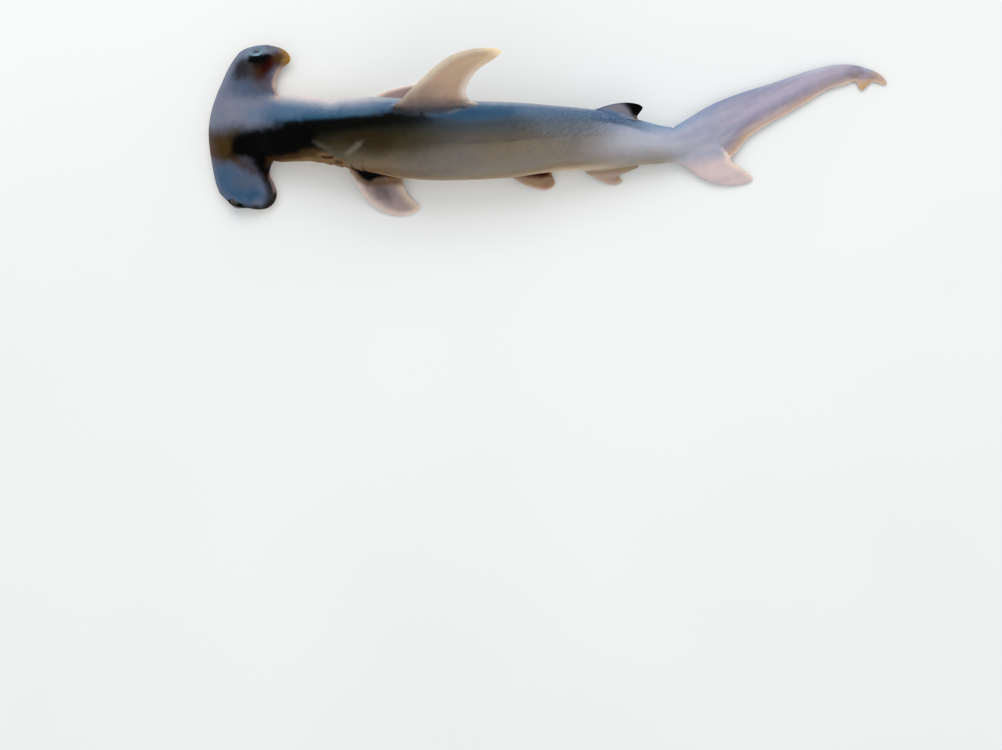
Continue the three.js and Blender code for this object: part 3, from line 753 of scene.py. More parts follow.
form = bmesh.new()
form.from_mesh(skin.data)
refined(form)
form.to_mesh(skin.data)
form.free()
skin.data.update()

# Small forms: each raises or sinks the skin along its own normals
points, pairs, normals = to_shark(points_of(skin.data)), pairs_of(skin.data), normals_of(skin.data)
fine = np.where(wanted_spacing(points) < FAR, FINE_SOFTENING, 0)
fine[eye_distance(points) < EYE_REACH] *= EYE_SOFTENING
points = soften(points, pairs, fine, FINE_ROUNDS)

# Gill slits with their flaps
behind, following, gill_index, gill_window = gill_marks(points)
angle, share = body_polar(points)
proud = np.where(angle > 0, *[np.array(FLAP_PROUD[side])[gill_index] for side in ("left", "right")])
flap = np.maximum(*[between(past, -FLAP_LENGTH, -FLAP_EDGE, 0, FLAP_EDGE) for past in (behind, following)])
slit = bell(behind - SLIT_BEHIND, SLIT_WIDTH) * gill_window
low = smoothstep(*SLIT_FADE, np.abs(angle))
rise = flap * proud * gill_window - slit * SLIT_DEPTH * (SLIT_LEAST + (1 - SLIT_LEAST) * low)

# Mouth with its lips, and nostrils
mouth_behind, mouth_window, mouth_across = mouth_marks(points, normals)
mouth = bell(mouth_behind, MOUTH_WIDTH) * mouth_window
lips = sum(bell(mouth_behind - place, LIP_WIDTH) * full for place, full in LIPS)
rise += lips * LIP_PROUD * mouth_window * smoothstep(1, 0.8, mouth_across) - mouth * MOUTH_DEPTH
nostril = bell(nostril_marks(points), NOSTRIL_WIDTH)
rise -= nostril * NOSTRIL_DEPTH

# Notch before the tail, and the hollow of the neck
on_body = smoothstep(*BODY_START, points[:, 0])
pit = bell(points[:, 0] - PIT_PLACE + PIT_SLANT * np.abs(angle), PIT_LENGTH)
rise -= pit * smoothstep(*PIT_SIDES, np.abs(angle)) * PIT_DEPTH * on_body
hollow = bell(points[:, 0] - HOLLOW_PLACE, HOLLOW_LENGTH) * smoothstep(*HOLLOW_TILT, normals[:, 1])
rise -= hollow * HOLLOW_DEPTH * on_body

points = points + normals * rise[:, None]
points[:, 2] = np.maximum(points[:, 2], 0)
skin.data.vertices.foreach_set("co", to_model(points).ravel())
skin.data.polygons.foreach_set("use_smooth", [True] * len(skin.data.polygons))
skin.data.update()


def store(name, values, mesh=skin.data):
    """Keeps a value for each point of a mesh, for its material to read."""
    layer = mesh.attributes.new(name, "FLOAT", "POINT")
    layer.data.foreach_set("value", np.asarray(values, np.float32))


def tint(red, green, blue):
    """Linear colour from the usual 0 to 255 values."""
    channels = [value / 255 for value in (red, green, blue)]
    return [c / 12.92 if c <= 0.04045 else ((c + 0.055) / 1.055) ** 2.4 for c in channels]


def blend(colour, shade, amount):
    """Colours drawn towards a shade, each by its own amount."""
    return colour + (np.array(tint(*shade)) - colour) * np.asarray(amount)[:, None]


def near(points, x, y, length, width, turn=0):
    """1 at the middle of a soft oval seen from above, 0 outside it."""
    cos, sin = math.cos(math.radians(turn)), math.sin(math.radians(turn))
    along = (points[:, 0] - x) * cos + (points[:, 1] - y) * sin
    aside = (points[:, 1] - y) * cos - (points[:, 0] - x) * sin
    return smoothstep(1.35, 0.5, np.hypot(along / length, aside / width))


# Paint as it shows from above, in pixels of the picture: [softness, colour, strength, outline]
HEAD_SHAPES = [
    # Pale snout
    [10, (116, 121, 138), 0.9, [(194, 94), (235, 95), (262, 98), (266, 106), (258, 120), (240, 125),
        (215, 130), (194, 131)]],
    # Slate of the right wing
    [8, (72, 86, 108), 0.9, [(232, 77), (250, 79), (268, 84), (272, 94), (250, 98), (234, 94)]],
    [6, (78, 72, 84), 0.8, [(252, 80), (270, 78), (275, 90), (262, 92), (252, 88)]],
    # Brown behind the right eye; the darkest, red-black patches are partly painted shade, in the hollow
    # behind the eye and under its lid
    [8, (54, 50, 50), 1, [(234, 63), (246, 58), (266, 60), (266, 76), (250, 80), (236, 78)]],
    [5, (38, 38, 46), 0.8, [(233, 64), (240, 60), (247, 66), (246, 76), (238, 78), (233, 74)]],
    [5, (56, 28, 8), 0.9, [(254, 64), (268, 62), (270, 70), (267, 81), (256, 80)]],
    [3.6, (46, 3, 0), 1, [(261, 56), (268, 54), (279, 54), (280, 62), (274, 70), (268, 74), (261, 72)]],
    [4, (14, 6, 3), 0.9, [(255, 60), (266, 54), (270, 60), (262, 68), (254, 67)]],
    # Right wing's tip
    [4, (102, 106, 120), 0.9, [(262, 41), (276, 43), (284, 49), (276, 54), (264, 53)]],
    [4, (66, 42, 22), 1, [(274, 53), (283, 54), (284, 63), (278, 68), (272, 62)]],
    [4, (148, 110, 46), 0.95, [(279, 46), (290, 46), (297, 60), (289, 70), (282, 65), (283, 56),
        (280, 51)]],
    [2, (192, 158, 62), 0.7, [(286, 47), (293, 52), (294, 63), (290, 67), (289, 56)]],
    # Pale upper edge of the neck: a painted highlight where it turns towards the window
    [5, (228, 206, 196), 0.6, [(300, 92), (330, 91), (331, 98), (312, 99), (300, 98)]],
    # Blue before the nape: painted reflection of the window on the slope towards it, with a grey border
    # towards the dark nape
    [7, (84, 108, 136), 0.6, [(246, 110), (272, 107), (300, 110), (300, 118), (270, 121), (248, 119)]],
    [5, (50, 54, 52), 0.7, [(230, 129), (262, 126), (280, 127), (262, 134), (236, 136)]],
    # Olive of the snout
    [10, (60, 45, 22), 1, [(190, 136), (220, 131), (240, 127), (244, 150), (240, 166), (222, 164),
        (206, 160), (190, 154)]],
    [7, (90, 72, 68), 0.8, [(190, 132), (212, 132), (214, 148), (216, 162), (190, 156)]],
    # Left wing
    [8, (60, 86, 114), 0.95, [(214, 168), (228, 165), (246, 176), (258, 182), (262, 194), (250, 202),
        (230, 198), (217, 186)]],
    [8, (78, 88, 108), 0.8, [(234, 172), (246, 174), (256, 184), (252, 191), (240, 189), (232, 182)]],
    [5, (36, 76, 104), 0.7, [(230, 192), (246, 192), (260, 190), (264, 197), (250, 202), (236, 199)]],
    [6, (56, 46, 42), 0.9, [(234, 157), (250, 160), (258, 170), (262, 178), (250, 174), (238, 166)]],
    [5, (28, 8, 6), 1, [(252, 160), (264, 162), (271, 170), (272, 192), (265, 184), (258, 170)]],
    [4, (38, 36, 38), 0.9, [(265, 178), (272, 180), (277, 196), (273, 206), (265, 204), (267, 190)]],
    # Dark nape
    [5, (1, 1, 1), 1, [(232, 136), (250, 130), (272, 127), (290, 124), (305, 121.5), (332, 124),
        (347, 123), (365, 118), (380, 113), (396, 110), (422, 114), (430, 119), (400, 122), (372, 128),
        (350, 130), (330, 133), (314, 138), (318, 145), (308, 151), (286, 157), (277, 163), (270, 169),
        (263, 175), (253, 163), (245, 158), (230, 156)]],
    # Dark rim of the left wing
    [3, (34, 26, 18), 0.95, [(221, 199), (240, 204), (262, 206), (272, 200), (276, 190), (282, 192),
        (281, 207), (262, 215), (236, 212), (221, 206)]],
    # Pale rear edge of the left wing
    [1.8, (170, 142, 134), 0.55, [(270, 172), (275, 180), (279, 190), (274, 192), (271, 183), (268, 176)]],
    # Corners of the right eye
    [4, (118, 138, 158), 0.9, [(243, 55), (247, 48), (255, 44), (264, 46), (267, 53), (256, 55),
        (247, 58)]],
    # Shade under the right eye
    [2.5, (2, 2, 2), 1, [(246, 60), (250, 57), (258, 55), (266, 53), (272, 56), (266, 61), (256, 64),
        (248, 63)]],
]
BODY_SHAPES = [
    # Dark of the shoulder
    [7, (12, 12, 7), 0.5, [(318, 131), (345, 126), (372, 123), (400, 117), (424, 116), (432, 122),
        (404, 133), (374, 139), (345, 141), (322, 141)]],
    # Olive of the shoulder
    [7, (42, 27, 9), 0.6, [(345, 134), (372, 131), (390, 136), (396, 143), (384, 154), (366, 152),
        (350, 144)]],
    # Grey lower side
    [16, (112, 112, 112), 0.5, [(396, 166), (440, 150), (474, 146), (474, 162), (450, 174), (410, 176)]],
    # Blue-grey of the rear flank, partly the window's reflection painted into it
    [16, (100, 112, 126), 0.6, [(520, 112), (585, 114), (606, 130), (570, 142), (546, 134)]],
    # Folds in front of the left pectoral fin, in paint only: a grey fold, painted shade in its crease and a
    # painted highlight along its ridge
    [3, (78, 76, 67), 0.7, [(313, 141), (322, 144), (340, 155), (352, 163), (345, 163), (330, 154),
        (318, 147)]],
    [2, (2, 2, 2), 0.8, [(303, 143), (316, 146), (326, 151), (318, 150), (306, 148)]],
    [3, (118, 113, 104), 0.7, [(346, 153), (352, 146), (363, 140.5), (361, 145.5), (353, 152),
        (347, 156)]],
    # Brown rim of the neck
    [3, (70, 50, 22), 0.7, [(300, 151), (314, 148), (322, 151), (318, 156), (300, 157)]],
    [3, (60, 38, 15), 0.9, [(266, 157), (300, 154.5), (302, 162), (280, 164), (266, 166)]],
    [1.6, (112, 84, 44), 0.85, [(276, 160.5), (300, 159), (322, 158.5), (335, 162), (350, 167), (340, 169),
        (322, 163), (300, 162.5), (276, 165)]],
    [2.4, (124, 94, 58), 0.85, [(317, 153), (324, 153), (334, 157), (347, 162), (347, 166), (334, 163),
        (320, 159.5)]],
    # Gill slits
    [1, (44, 8, 2), 0.95, [(321, 156.2), (328, 155.6), (334, 156.8), (333, 158.6), (326, 158.8),
        (321, 157.8)]],
    [1.2, (60, 36, 10), 0.85, [(334, 160.8), (338, 160.4), (343, 162.8), (339, 164.4), (335, 163.4)]],
    # Belly's edge
    [5, (144, 127, 104), 0.6, [(376, 174), (403, 176), (440, 177), (515, 175), (560, 173), (560, 186),
        (376, 186)]],
    # Belly's edge further back
    [2, (146, 130, 104), 0.85, [(556, 172.5), (598, 170), (625, 166.5), (645, 163), (672, 161), (672, 166),
        (645, 168.5), (628, 171), (600, 174), (590, 175), (556, 178)]],
    # Blue behind the first dorsal fin: painted reflection of the window, and a pale streak along the fin's
    # free rear tip that is a painted highlight
    [6, (42, 76, 106), 0.75, [(446, 115), (472, 107), (500, 106), (520, 110), (505, 115), (485, 118),
        (460, 119)]],
    [7, (86, 108, 136), 0.5, [(512, 105), (545, 106), (590, 110), (600, 118), (560, 120), (520, 112)]],
    [2.4, (150, 152, 156), 0.4, [(447, 111.5), (462, 107), (477, 103.4), (479, 105), (464, 108.8),
        (450, 113.4)]],
    # Blue before the second dorsal fin: painted reflection of the window
    [4, (76, 98, 130), 0.8, [(588, 110), (612, 111), (628, 116), (620, 120), (598, 118)]],
    # Tip of the second dorsal fin
    [3, (2, 2, 3), 1, [(619, 98), (634, 98), (650, 102), (650, 112), (640, 121), (632, 116), (628, 109)]],
]
# Paint at the fins' roots, most of it painted shade where the fins meet the body
ROOT_PAINT_AND_SHADE = [
    # Foot of the left pectoral fin: its darker root, and a painted shadow where it goes under the body's
    # edge, black with brown borders
    [7, (100, 88, 92), 0.9, [(362, 176), (380, 178), (392, 190), (390, 202), (376, 195), (366, 186)]],
    [2.4, (122, 80, 22), 1, [(384, 169), (403, 171), (403, 178.5), (390, 179)]],
    [3, (100, 70, 40), 0.75, [(347, 166), (354, 166), (359, 172), (368, 180), (384, 179), (402, 179),
        (402, 184), (384, 185), (367, 187), (357, 181), (350, 173)]],
    [2, (46, 8, 1), 1, [(378, 169.5), (392, 170.8), (403, 172.2), (402, 175.5), (390, 176.8),
        (378, 178.5)]],
    [1.6, (1, 1, 1), 1, [(349, 165), (356, 165), (368, 167.3), (384, 169.3), (384, 172.5), (378, 177.5),
        (370, 181.5), (362, 178.5), (355, 171)]],
    # Foot of the left pelvic fin: painted shade where it goes under the body's edge
    [3, (66, 22, 8), 1, [(506, 172.5), (516, 169), (550, 168.5), (551, 177), (540, 178), (526, 177),
        (514, 175)]],
    [2, (12, 4, 3), 1, [(522, 170), (547, 169), (547, 173.5), (528, 174.5)]],
    # Foot of the first dorsal fin: painted shade at its root, and its painted shadow on the back below it
    [7, (106, 94, 92), 0.85, [(398, 104), (410, 98), (440, 98), (468, 102), (450, 108), (420, 110)]],
    [6, (62, 64, 70), 0.75, [(392, 108), (420, 106.5), (450, 106.5), (462, 106), (452, 111), (424, 113),
        (400, 112)]],
]
TAIL_SHAPES = [
    # Lavender web
    [10, (170, 162, 182), 0.7, [(735, 106), (790, 82), (840, 64), (866, 70), (850, 77), (830, 82),
        (800, 96), (765, 113), (745, 122)]],
    # Blue front edge
    [4, (124, 146, 176), 0.5, [(666, 127), (676, 125), (700, 112), (718, 103), (718, 109), (700, 119),
        (684, 129), (670, 132)]],
    # Lower lobe
    [8, (206, 188, 187), 0.9, [(696, 168), (716, 163), (736, 164), (756, 174), (756, 190), (700, 192),
        (684, 172)]],
    # Dark of the upper lobe's end
    [3.4, (134, 120, 122), 0.75, [(846, 73), (862, 71), (877, 75), (875, 79), (862, 81), (850, 78)]],
    # Tooth of the upper lobe
    [2, (196, 160, 120), 0.85, [(853, 80), (870, 79), (869, 86), (862, 94), (856, 87)]],
    # Pale rear edge of the lower lobe
    [2.6, (230, 209, 195), 0.8, [(727, 158), (745, 166), (760, 176), (750, 180), (738, 170), (725, 163)]],
]
# Fine folds over the neck; their creases are darkened with painted shade
CREASED = [(262, 113), (300, 109), (345, 105), (358, 116), (352, 122), (330, 128), (300, 131), (264, 134)]
CREASED_SOFTNESS = 5.6
# Paint along the hammer's edges: [wing, edge, from and to along the wing, width, colour, strength]
HEAD_EDGES = [
    ["right", "front", -4, 57, 8, (124, 131, 148), 0.7],
    ["left", "front", 22, 50, 5, (98, 112, 130), 0.6],
    ["right", "rear", 16, 50, 9, (104, 98, 116), 0.5],
    ["right", "rear", 14, 48, 3.5, (206, 180, 166), 0.95],
]
# Painted sheen: the window's reflection painted into the colour of the side that tilts towards it, over the
# skin's tilt, on the neck and on the trunk
PAINTED_SHEEN = {
    "neck": [
        (0.05, (20, 46, 62)), (0.2, (46, 82, 108)), (0.48, (86, 110, 136)), (0.68, (142, 150, 165)),
        (0.92, (206, 200, 202)),
    ],
    "trunk": [(0.2, (54, 68, 80)), (0.45, (58, 86, 112)), (0.7, (86, 110, 138)), (0.88, (146, 156, 170))],
}
# Where the neck's painted sheen turns into the trunk's, where the painted sheen lies, and the tilt that it
# starts at
SHEEN_CHANGE = (104, 136)
SHEEN_SPAN = (36, 60, 280, 330)
SHEEN_START = [(60, -0.02), (82, 0.0), (110, 0.12), (190, 0.2)]
HEAD_END = (62, 44)
WANDER_SEED = 1
WANDER_SCALE = 0.22
# A border wanders by this share of its softness, and by this many millimetres at most
WANDER_SHARE = 0.4
WANDER_MOST = 2
# Lateral line: angle from the back at one place, turn for each millimetre behind it, and half width
LATERAL_PLACE = 138
LATERAL_ANGLE = 49
LATERAL_TURN = 0.13
LATERAL_WIDTH = 1.4
LATERAL_SPAN = (104, 126, 240, 310)


def edge_distance(points, wing, edge):
    """Distance from one edge of a wing in the head's plan."""
    span, back = head_plan(points)
    reach = np.clip(span * SIDES[wing], 0, WINGS[wing]["front"][-1][0])
    place = follow(WINGS[wing][edge], reach)[:, 1]
    return (back - place) * (1 if edge == "front" else -1)


def within(spots, outline, soft):
    """1 inside a drawn outline and 0 outside it, with a soft border."""
    distance = np.full(len(spots), np.inf)
    inside = np.zeros(len(spots), bool)
    for start, end in zip(outline, np.roll(outline, -1, 0)):
        side = end - start
        share = np.clip((spots - start) @ side / (side @ side), 0, 1)
        distance = np.minimum(distance, np.linalg.norm(spots - start - share[:, None] * side, axis=1))
        if side[1] != 0:
            crossing = start[0] + (spots[:, 1] - start[1]) * side[0] / side[1]
            inside ^= ((start[1] > spots[:, 1]) != (end[1] > spots[:, 1])) & (spots[:, 0] < crossing)
    return smoothstep(-soft, soft, np.where(inside, distance, -distance))


class Paint:
    """Colour of each point of the skin and how much of it is covered."""

    def __init__(self, spots):
        self.spots = spots
        noise.seed_set(WANDER_SEED)
        places = [(x * WANDER_SCALE, y * WANDER_SCALE, 0) for x, y in spots]
        self.wander = np.array([noise.turbulence_vector(place, 4, False)[:2] for place in places])
        self.colour = np.zeros((len(spots), 3))
        self.cover = np.zeros(len(spots))

    def lay(self, shade, amount):
        """Lays one shade, or a colour for each point, over what is there."""
        grown = self.cover + (1 - self.cover) * amount
        share = np.divide(amount, grown, out=np.zeros(len(grown)), where=grown > 0)
        self.colour += (shade - self.colour) * share[:, None]
        self.cover = grown

    def inside(self, outline, soft):
        """Share inside an outline in pixels, whose border wanders more the softer it is."""
        soft = round(soft * PIXEL, 1)
        spots = self.spots + self.wander * min(soft * WANDER_SHARE, WANDER_MOST)
        return within(spots, on_floor(outline), soft)

    def draw(self, shapes, mask):
        """Lays a table's shapes one over the other where the mask lets them show."""
        for soft, shade, strength, outline in shapes:
            self.lay(np.array(tint(*shade)), self.inside(outline, soft) * strength * mask)


def painted_sheen_colours(part, tilt):
    """Painted reflection of the window: colours of the side towards it over the skin's tilt."""
    stops = [stop for stop, _ in PAINTED_SHEEN[part]]
    shades = np.array([tint(*shade) for _, shade in PAINTED_SHEEN[part]])
    return np.stack([np.interp(tilt, stops, channel) for channel in shades.T], 1)


# Painted shade of the lids: darkness of each lid's outer half
LID_SHADE = {"left": 1, "right": 0.1}


def painted_lid_shade(points, side):
    """How dark the rim of an eye is painted, as the shade of its lid."""
    ahead, aside = eye_polar(points, side)
    inner = smoothstep(-1, 3, (points[:, 1] - eye_centre(side).y) * -SIDES[side])
    return smoothstep(6.9, 6.1, aside) * smoothstep(-1.5, 0.5, ahead) * np.maximum(inner, LID_SHADE[side])


# Colours of each fin: root, web, front edge, rear edge, tip
FIN_COLOURS = {
    "first_dorsal_fin": [
        (130, 113, 108), (178, 150, 130), (210, 197, 178), (224, 209, 198), (255, 232, 182),
    ],
    "second_dorsal_fin": [
        (78, 92, 114), (120, 116, 126), (92, 100, 122), (176, 158, 138), (126, 122, 122),
    ],
    "pectoral_fin_left": [
        (108, 92, 90), (164, 147, 144), (214, 196, 186), (214, 196, 178), (234, 212, 196),
    ],
    "pectoral_fin_right": [
        (122, 102, 102), (158, 136, 134), (228, 208, 198), (222, 202, 186), (228, 208, 196),
    ],
    "pelvic_fin_left": [
        (120, 70, 44), (168, 126, 104), (200, 172, 154), (180, 130, 96), (204, 164, 140),
    ],
    "pelvic_fin_right": [
        (150, 120, 98), (190, 158, 136), (186, 158, 140), (198, 168, 144), (204, 170, 148),
    ],
    "anal_fin": [
        (136, 112, 84), (176, 153, 142), (190, 166, 152), (172, 145, 114), (204, 182, 164),
    ],
    "caudal_upper_lobe": [
        (168, 170, 186), (154, 151, 172), (148, 156, 182), (186, 158, 134), (212, 182, 154),
    ],
    "caudal_lower_lobe": [
        (168, 167, 183), (206, 187, 187), (197, 181, 179), (226, 208, 197), (224, 202, 190),
    ],
}
# How far from a fin the skin takes the colours of its root, in millimetres
ROOT_BAND = 10
# Behind the snout, where the skin is all fin, and where the tail fin's colours start and are full
ALL_FIN = 336
TAIL_COLOURS = (318, 346)
TAIL_COVER = 0.96
# Points of a fin that its colours are looked up at
SAMPLES_ALONG = 150
SAMPLES_ROUND = 110
# Widths of the front and rear edges' colours on each fin, in millimetres
FIN_EDGES = {
    "first_dorsal_fin": (6, 5),
    "second_dorsal_fin": (3, 2),
    "pectoral_fin_left": (6.5, 5),
    "pectoral_fin_right": (5, 3),
    "pelvic_fin_left": (3, 3),
    "pelvic_fin_right": (3, 3),
    "anal_fin": (3, 3),
    "caudal_upper_lobe": (4, 8),
    "caudal_lower_lobe": (3.5, 3),
}


def fin_samples(name):
    """Points on a fin, their shares from root to tip and from front to rear edge, and its width there."""
    shares = np.meshgrid(np.linspace(0, 1, SAMPLES_ALONG), np.linspace(0, 0.999, SAMPLES_ROUND))
    along, around = [grid.ravel() for grid in shares]
    spots = fin_point(FINS[name], WEB_START.get(name, 1))(along, around)
    turn = np.where(around < 0.5, around, 1 - around) * 2
    lead, trail, _ = fin_frame(FINS[name], along)
    return spots, along, (1 - np.cos(turn * math.pi)) / 2, np.linalg.norm(trail - lead, axis=1)


def fin_shares(name, places):
    """Shares from root to tip and from front to rear edge at places on a fin, and the fin's width there."""
    spots, along, across, chord = fin_samples(name)
    tree = KDTree(len(spots))
    for index, spot in enumerate(spots):
        tree.insert(spot, index)
    tree.balance()
    result = np.zeros((len(places), 3))
    for row, place in enumerate(places):
        found = tree.find_n(place, 3)
        weights = np.array([1 / (distance + 0.05) for _, _, distance in found])
        nearest = [index for _, index, _ in found]
        values = np.stack([along[nearest], across[nearest], chord[nearest]], 1)
        result[row] = (values * weights[:, None]).sum(0) / weights.sum()
    return result.T


def fin_paint(name, places, s, c, width):
    """Colour of a fin from its root, web, edges and tip, with its own darker or paler places."""
    root, web, front, rear, tip = FIN_COLOURS[name]
    front_width, rear_width = FIN_EDGES[name]
    lead, trail = c * width, (1 - c) * width
    colour = np.tile(tint(*root), (len(places), 1))
    colour = blend(colour, web, smoothstep(0.1, 0.36, s))
    colour = blend(colour, front, smoothstep(front_width * 1.4, 0, lead) * 0.95)
    if name == "caudal_upper_lobe":
        colour = blend(colour, (202, 206, 213), smoothstep(5, 1, lead) * near(places, 416, 60, 50, 30) * 0.8)
        colour = blend(colour, (132, 126, 144), smoothstep(15, 9, trail) * smoothstep(0.05, 0.3, s) * 0.9)
        middle = between(c, 0.2, 0.34, 0.4, 0.52)
        colour = blend(colour, (134, 138, 166), middle * smoothstep(0.8, 0.5, s) * 0.45)
    at_rear = smoothstep(rear_width * 1.4, rear_width * 0.1, trail)
    colour = blend(colour, rear, at_rear * smoothstep(0.04, 0.2, s))
    if name == "caudal_upper_lobe":
        colour = blend(colour, (224, 202, 184), smoothstep(2.6, 0.4, trail) * smoothstep(0.1, 0.25, s) * 0.7)
    if name == "first_dorsal_fin":
        colour = blend(colour, (206, 182, 144), smoothstep(0.35, 0.8, s) * smoothstep(4, 12, lead) * 0.7)
        colour = blend(colour, (132, 114, 108), near(places, 146, 8, 24, 8, 20) * 0.5)
    return blend(colour, tip, smoothstep(0.74, 0.97, s))


fin_mask = np.zeros(len(points))
at_root = np.zeros(len(points))
fin_ray = np.zeros(len(points))
fin_thin = np.zeros(len(points))
fin_colour = np.tile(tint(200, 170, 150), (len(points), 1))
model_points = to_model(points)
for name, form in fins.items():
    reach = nearness(model_points, form, ROOT_BAND * MM) / MM
    at_root = np.maximum(at_root, smoothstep(ROOT_BAND, ROOT_BAND * 0.55, reach))
    outside = np.where(points[:, 0] > ALL_FIN, 1, smoothstep(1.0, 1.16, share))
    mask = smoothstep(1.5, 0.5, reach) * outside
    if name == "caudal_upper_lobe":
        mask = smoothstep(*TAIL_COLOURS, points[:, 0]) * TAIL_COVER
    inside = np.flatnonzero(mask > 0)
    s, c, width = fin_shares(name, points[inside])
    colour = fin_paint(name, points[inside], s, c, width)
    stronger = mask[inside] > fin_mask[inside]
    chosen = inside[stronger]
    fin_mask[chosen] = mask[chosen]
    fin_colour[chosen] = colour[stronger]
    fin_ray[chosen] = c[stronger]
    fin_thin[chosen] = smoothstep(9, 2, (1 - c) * width)[stronger]

above = smoothstep(-0.55, -0.15, normals[:, 2])
paint = Paint(from_above(points))
in_head = smoothstep(*HEAD_END, points[:, 0])
paint.lay(np.array(tint(94, 102, 124)), in_head)
# Painted sheen: the window's reflection laid into the colour of the skin that tilts towards it
tilt = normals[:, 1]
low_tilt = np.interp(points[:, 0], *zip(*SHEEN_START))
window_side = smoothstep(0, 0.16, tilt - low_tilt) * smoothstep(-0.35, 0.1, normals[:, 2])
on_trunk = smoothstep(*SHEEN_CHANGE, points[:, 0])[:, None]
sheen = painted_sheen_colours("neck", tilt) * (1 - on_trunk) + painted_sheen_colours("trunk", tilt) * on_trunk
paint.lay(sheen, window_side * between(points[:, 0], *SHEEN_SPAN))
paint.draw(HEAD_SHAPES, above)
span, back = head_plan(points)
for wing, edge, start, end, width, shade, strength in HEAD_EDGES:
    reach = span * SIDES[wing]
    along = between(reach, start, start + 8, end - 6, end) * in_head
    distance = edge_distance(points, wing, edge)
    paint.lay(np.array(tint(*shade)), along * smoothstep(width, width * 0.2, distance) * strength)
paint.lay(np.array(tint(214, 197, 180)), in_head * (1 - above))
# The rims of the eyes get the painted shade of their lids
for side in SIDES:
    paint.lay(np.array(tint(6, 7, 9)), painted_lid_shade(points, side))
paint.lay(fin_colour, fin_mask)
paint.draw(BODY_SHAPES, above)
# Paint at the fins' roots, mostly painted shade where they meet the body
paint.draw(ROOT_PAINT_AND_SHADE, above * at_root)
paint.draw(TAIL_SHAPES, np.ones(len(points)))

store("flank", np.abs(angle) / 180)
store("painted", paint.cover)
store("fin", fin_mask)
store("fin_ray", fin_ray)
store("fin_thin", fin_thin)
store("slit", np.maximum.reduce([slit * 0.4 * low**2, mouth, nostril]))
# Painted highlight on the edges of the first gill flaps
lit_flap = gill_window * low * (gill_index < LIT_FLAPS)
store("flap_highlight", between(behind, -1.2, -0.2, 0.1, 0.5) * lit_flap)
store("crease", paint.inside(CREASED, CREASED_SOFTNESS))
lateral = bell(angle - LATERAL_ANGLE - LATERAL_TURN * (points[:, 0] - LATERAL_PLACE), LATERAL_WIDTH)
store("lateral", lateral * between(points[:, 0], *LATERAL_SPAN))
layer = skin.data.attributes.new("paint", "FLOAT_COLOR", "POINT")
shades = np.concatenate([paint.colour, np.ones((len(points), 1))], 1)
layer.data.foreach_set("color", shades.astype(np.float32).ravel())


class Term:
    """A node's output that maths can be written with."""

    def __init__(self, graph, socket):
        self.graph = graph
        self.socket = socket

    def maths(self, operation, *values):
        return self.graph.add("ShaderNodeMath", {"operation": operation}, dict(enumerate(values)))

    def __add__(self, other):
        return self.maths("ADD", self, other)

    __radd__ = __add__

    def __sub__(self, other):
        return self.maths("SUBTRACT", self, other)

    def __rsub__(self, other):
        return self.maths("SUBTRACT", other, self)

    def __mul__(self, other):
        return self.maths("MULTIPLY", self, other)

    __rmul__ = __mul__

    def __truediv__(self, other):
        return self.maths("DIVIDE", self, other)

    def step(self, low, high):
        """0 below low and 1 above high, smooth between; high may be the lower of the two."""
        if low > high:
            return 1 - self.step(high, low)
        settings = {"interpolation_type": "SMOOTHSTEP"}
        values = {"Value": self, "From Min": low, "From Max": high}
        return self.graph.add("ShaderNodeMapRange", settings, values)


class Finish:
    """A material's nodes."""

    def __init__(self, name):
        self.material = bpy.data.materials.new(name)
        self.material.use_nodes = True
        self.tree = self.material.node_tree
        self.shader = self.tree.nodes["Principled BSDF"]

    def add(self, kind, settings=None, values=None, output=0):
        """A node of a kind, with its settings, and its sockets' values or links."""
        node = self.tree.nodes.new(kind)
        for name, value in (settings or {}).items():
            setattr(node, name, value)
        for name, value in (values or {}).items():
            self.put(node.inputs[name], value)
        return Term(self, node.outputs[output])

    def put(self, socket, value):
        if isinstance(value, Term):
            self.tree.links.new(value.socket, socket)
        elif isinstance(value, (list, tuple)) and len(value) == 3 and socket.type == "RGBA":
            socket.default_value = (*value, 1)
        else:
            socket.default_value = value

    def attribute(self, name, output="Fac"):
        return self.add("ShaderNodeAttribute", {"attribute_name": name}, output=output)

    def place(self):
        return self.add("ShaderNodeTexCoord", output="Object")

    def noise(self, scale, detail=3, roughness=0.55, stretch=None):
        where = self.place()
        if stretch:
            where = self.add("ShaderNodeMapping", values={"Vector": where, "Scale": stretch})
        values = {"Vector": where, "Scale": scale, "Detail": detail, "Roughness": roughness}
        return self.add("ShaderNodeTexNoise", values=values)

    def streaks(self, scale, turn, stretch):
        """Fine lines across the back, turned in degrees from the body's length."""
        values = {"Vector": self.place(), "Rotation": (0, 0, math.radians(-turn))}
        where = self.add("ShaderNodeMapping", values=values)
        where = self.add("ShaderNodeMapping", values={"Vector": where, "Scale": (1 / stretch, 1, 0.5)})
        return self.add("ShaderNodeTexNoise", values={"Vector": where, "Scale": scale * 2, "Detail": 3})

    def ramp(self, factor, stops):
        term = self.add("ShaderNodeValToRGB", values={"Fac": factor})
        elements = term.socket.node.color_ramp.elements
        while len(elements) < len(stops):
            elements.new(0.5)
        for element, (position, colour) in zip(elements, stops):
            element.position = position
            element.color = (*tint(*colour), 1)
        return term

    def mix(self, factor, a, b, blend="MIX"):
        settings = {"data_type": "RGBA", "blend_type": blend}
        return self.add("ShaderNodeMix", settings, {0: factor, 6: a, 7: b}, output=2)

    def bump(self, height, strength, distance, normal=None):
        values = {"Height": height, "Strength": strength, "Distance": distance}
        if normal:
            values["Normal"] = normal
        return self.add("ShaderNodeBump", values=values)

    def surface(self, **values):
        for name, value in values.items():
            self.put(self.shader.inputs[name.replace("_", " ").title().replace("Ior", "IOR")], value)
        return self.material


# Where the colours of the skin's zones start and are full, in metres along the shark in the model's frame
SHOULDER_START = (-0.174, -0.144)
MIDDLE_START = (-0.104, -0.048)
REAR_START = (0.012, 0.066)
LOBE_START = (0.1, 0.13)
# Turn of the wave that makes the fin rays, in radians from front to rear edge
RAY_TURN = 190


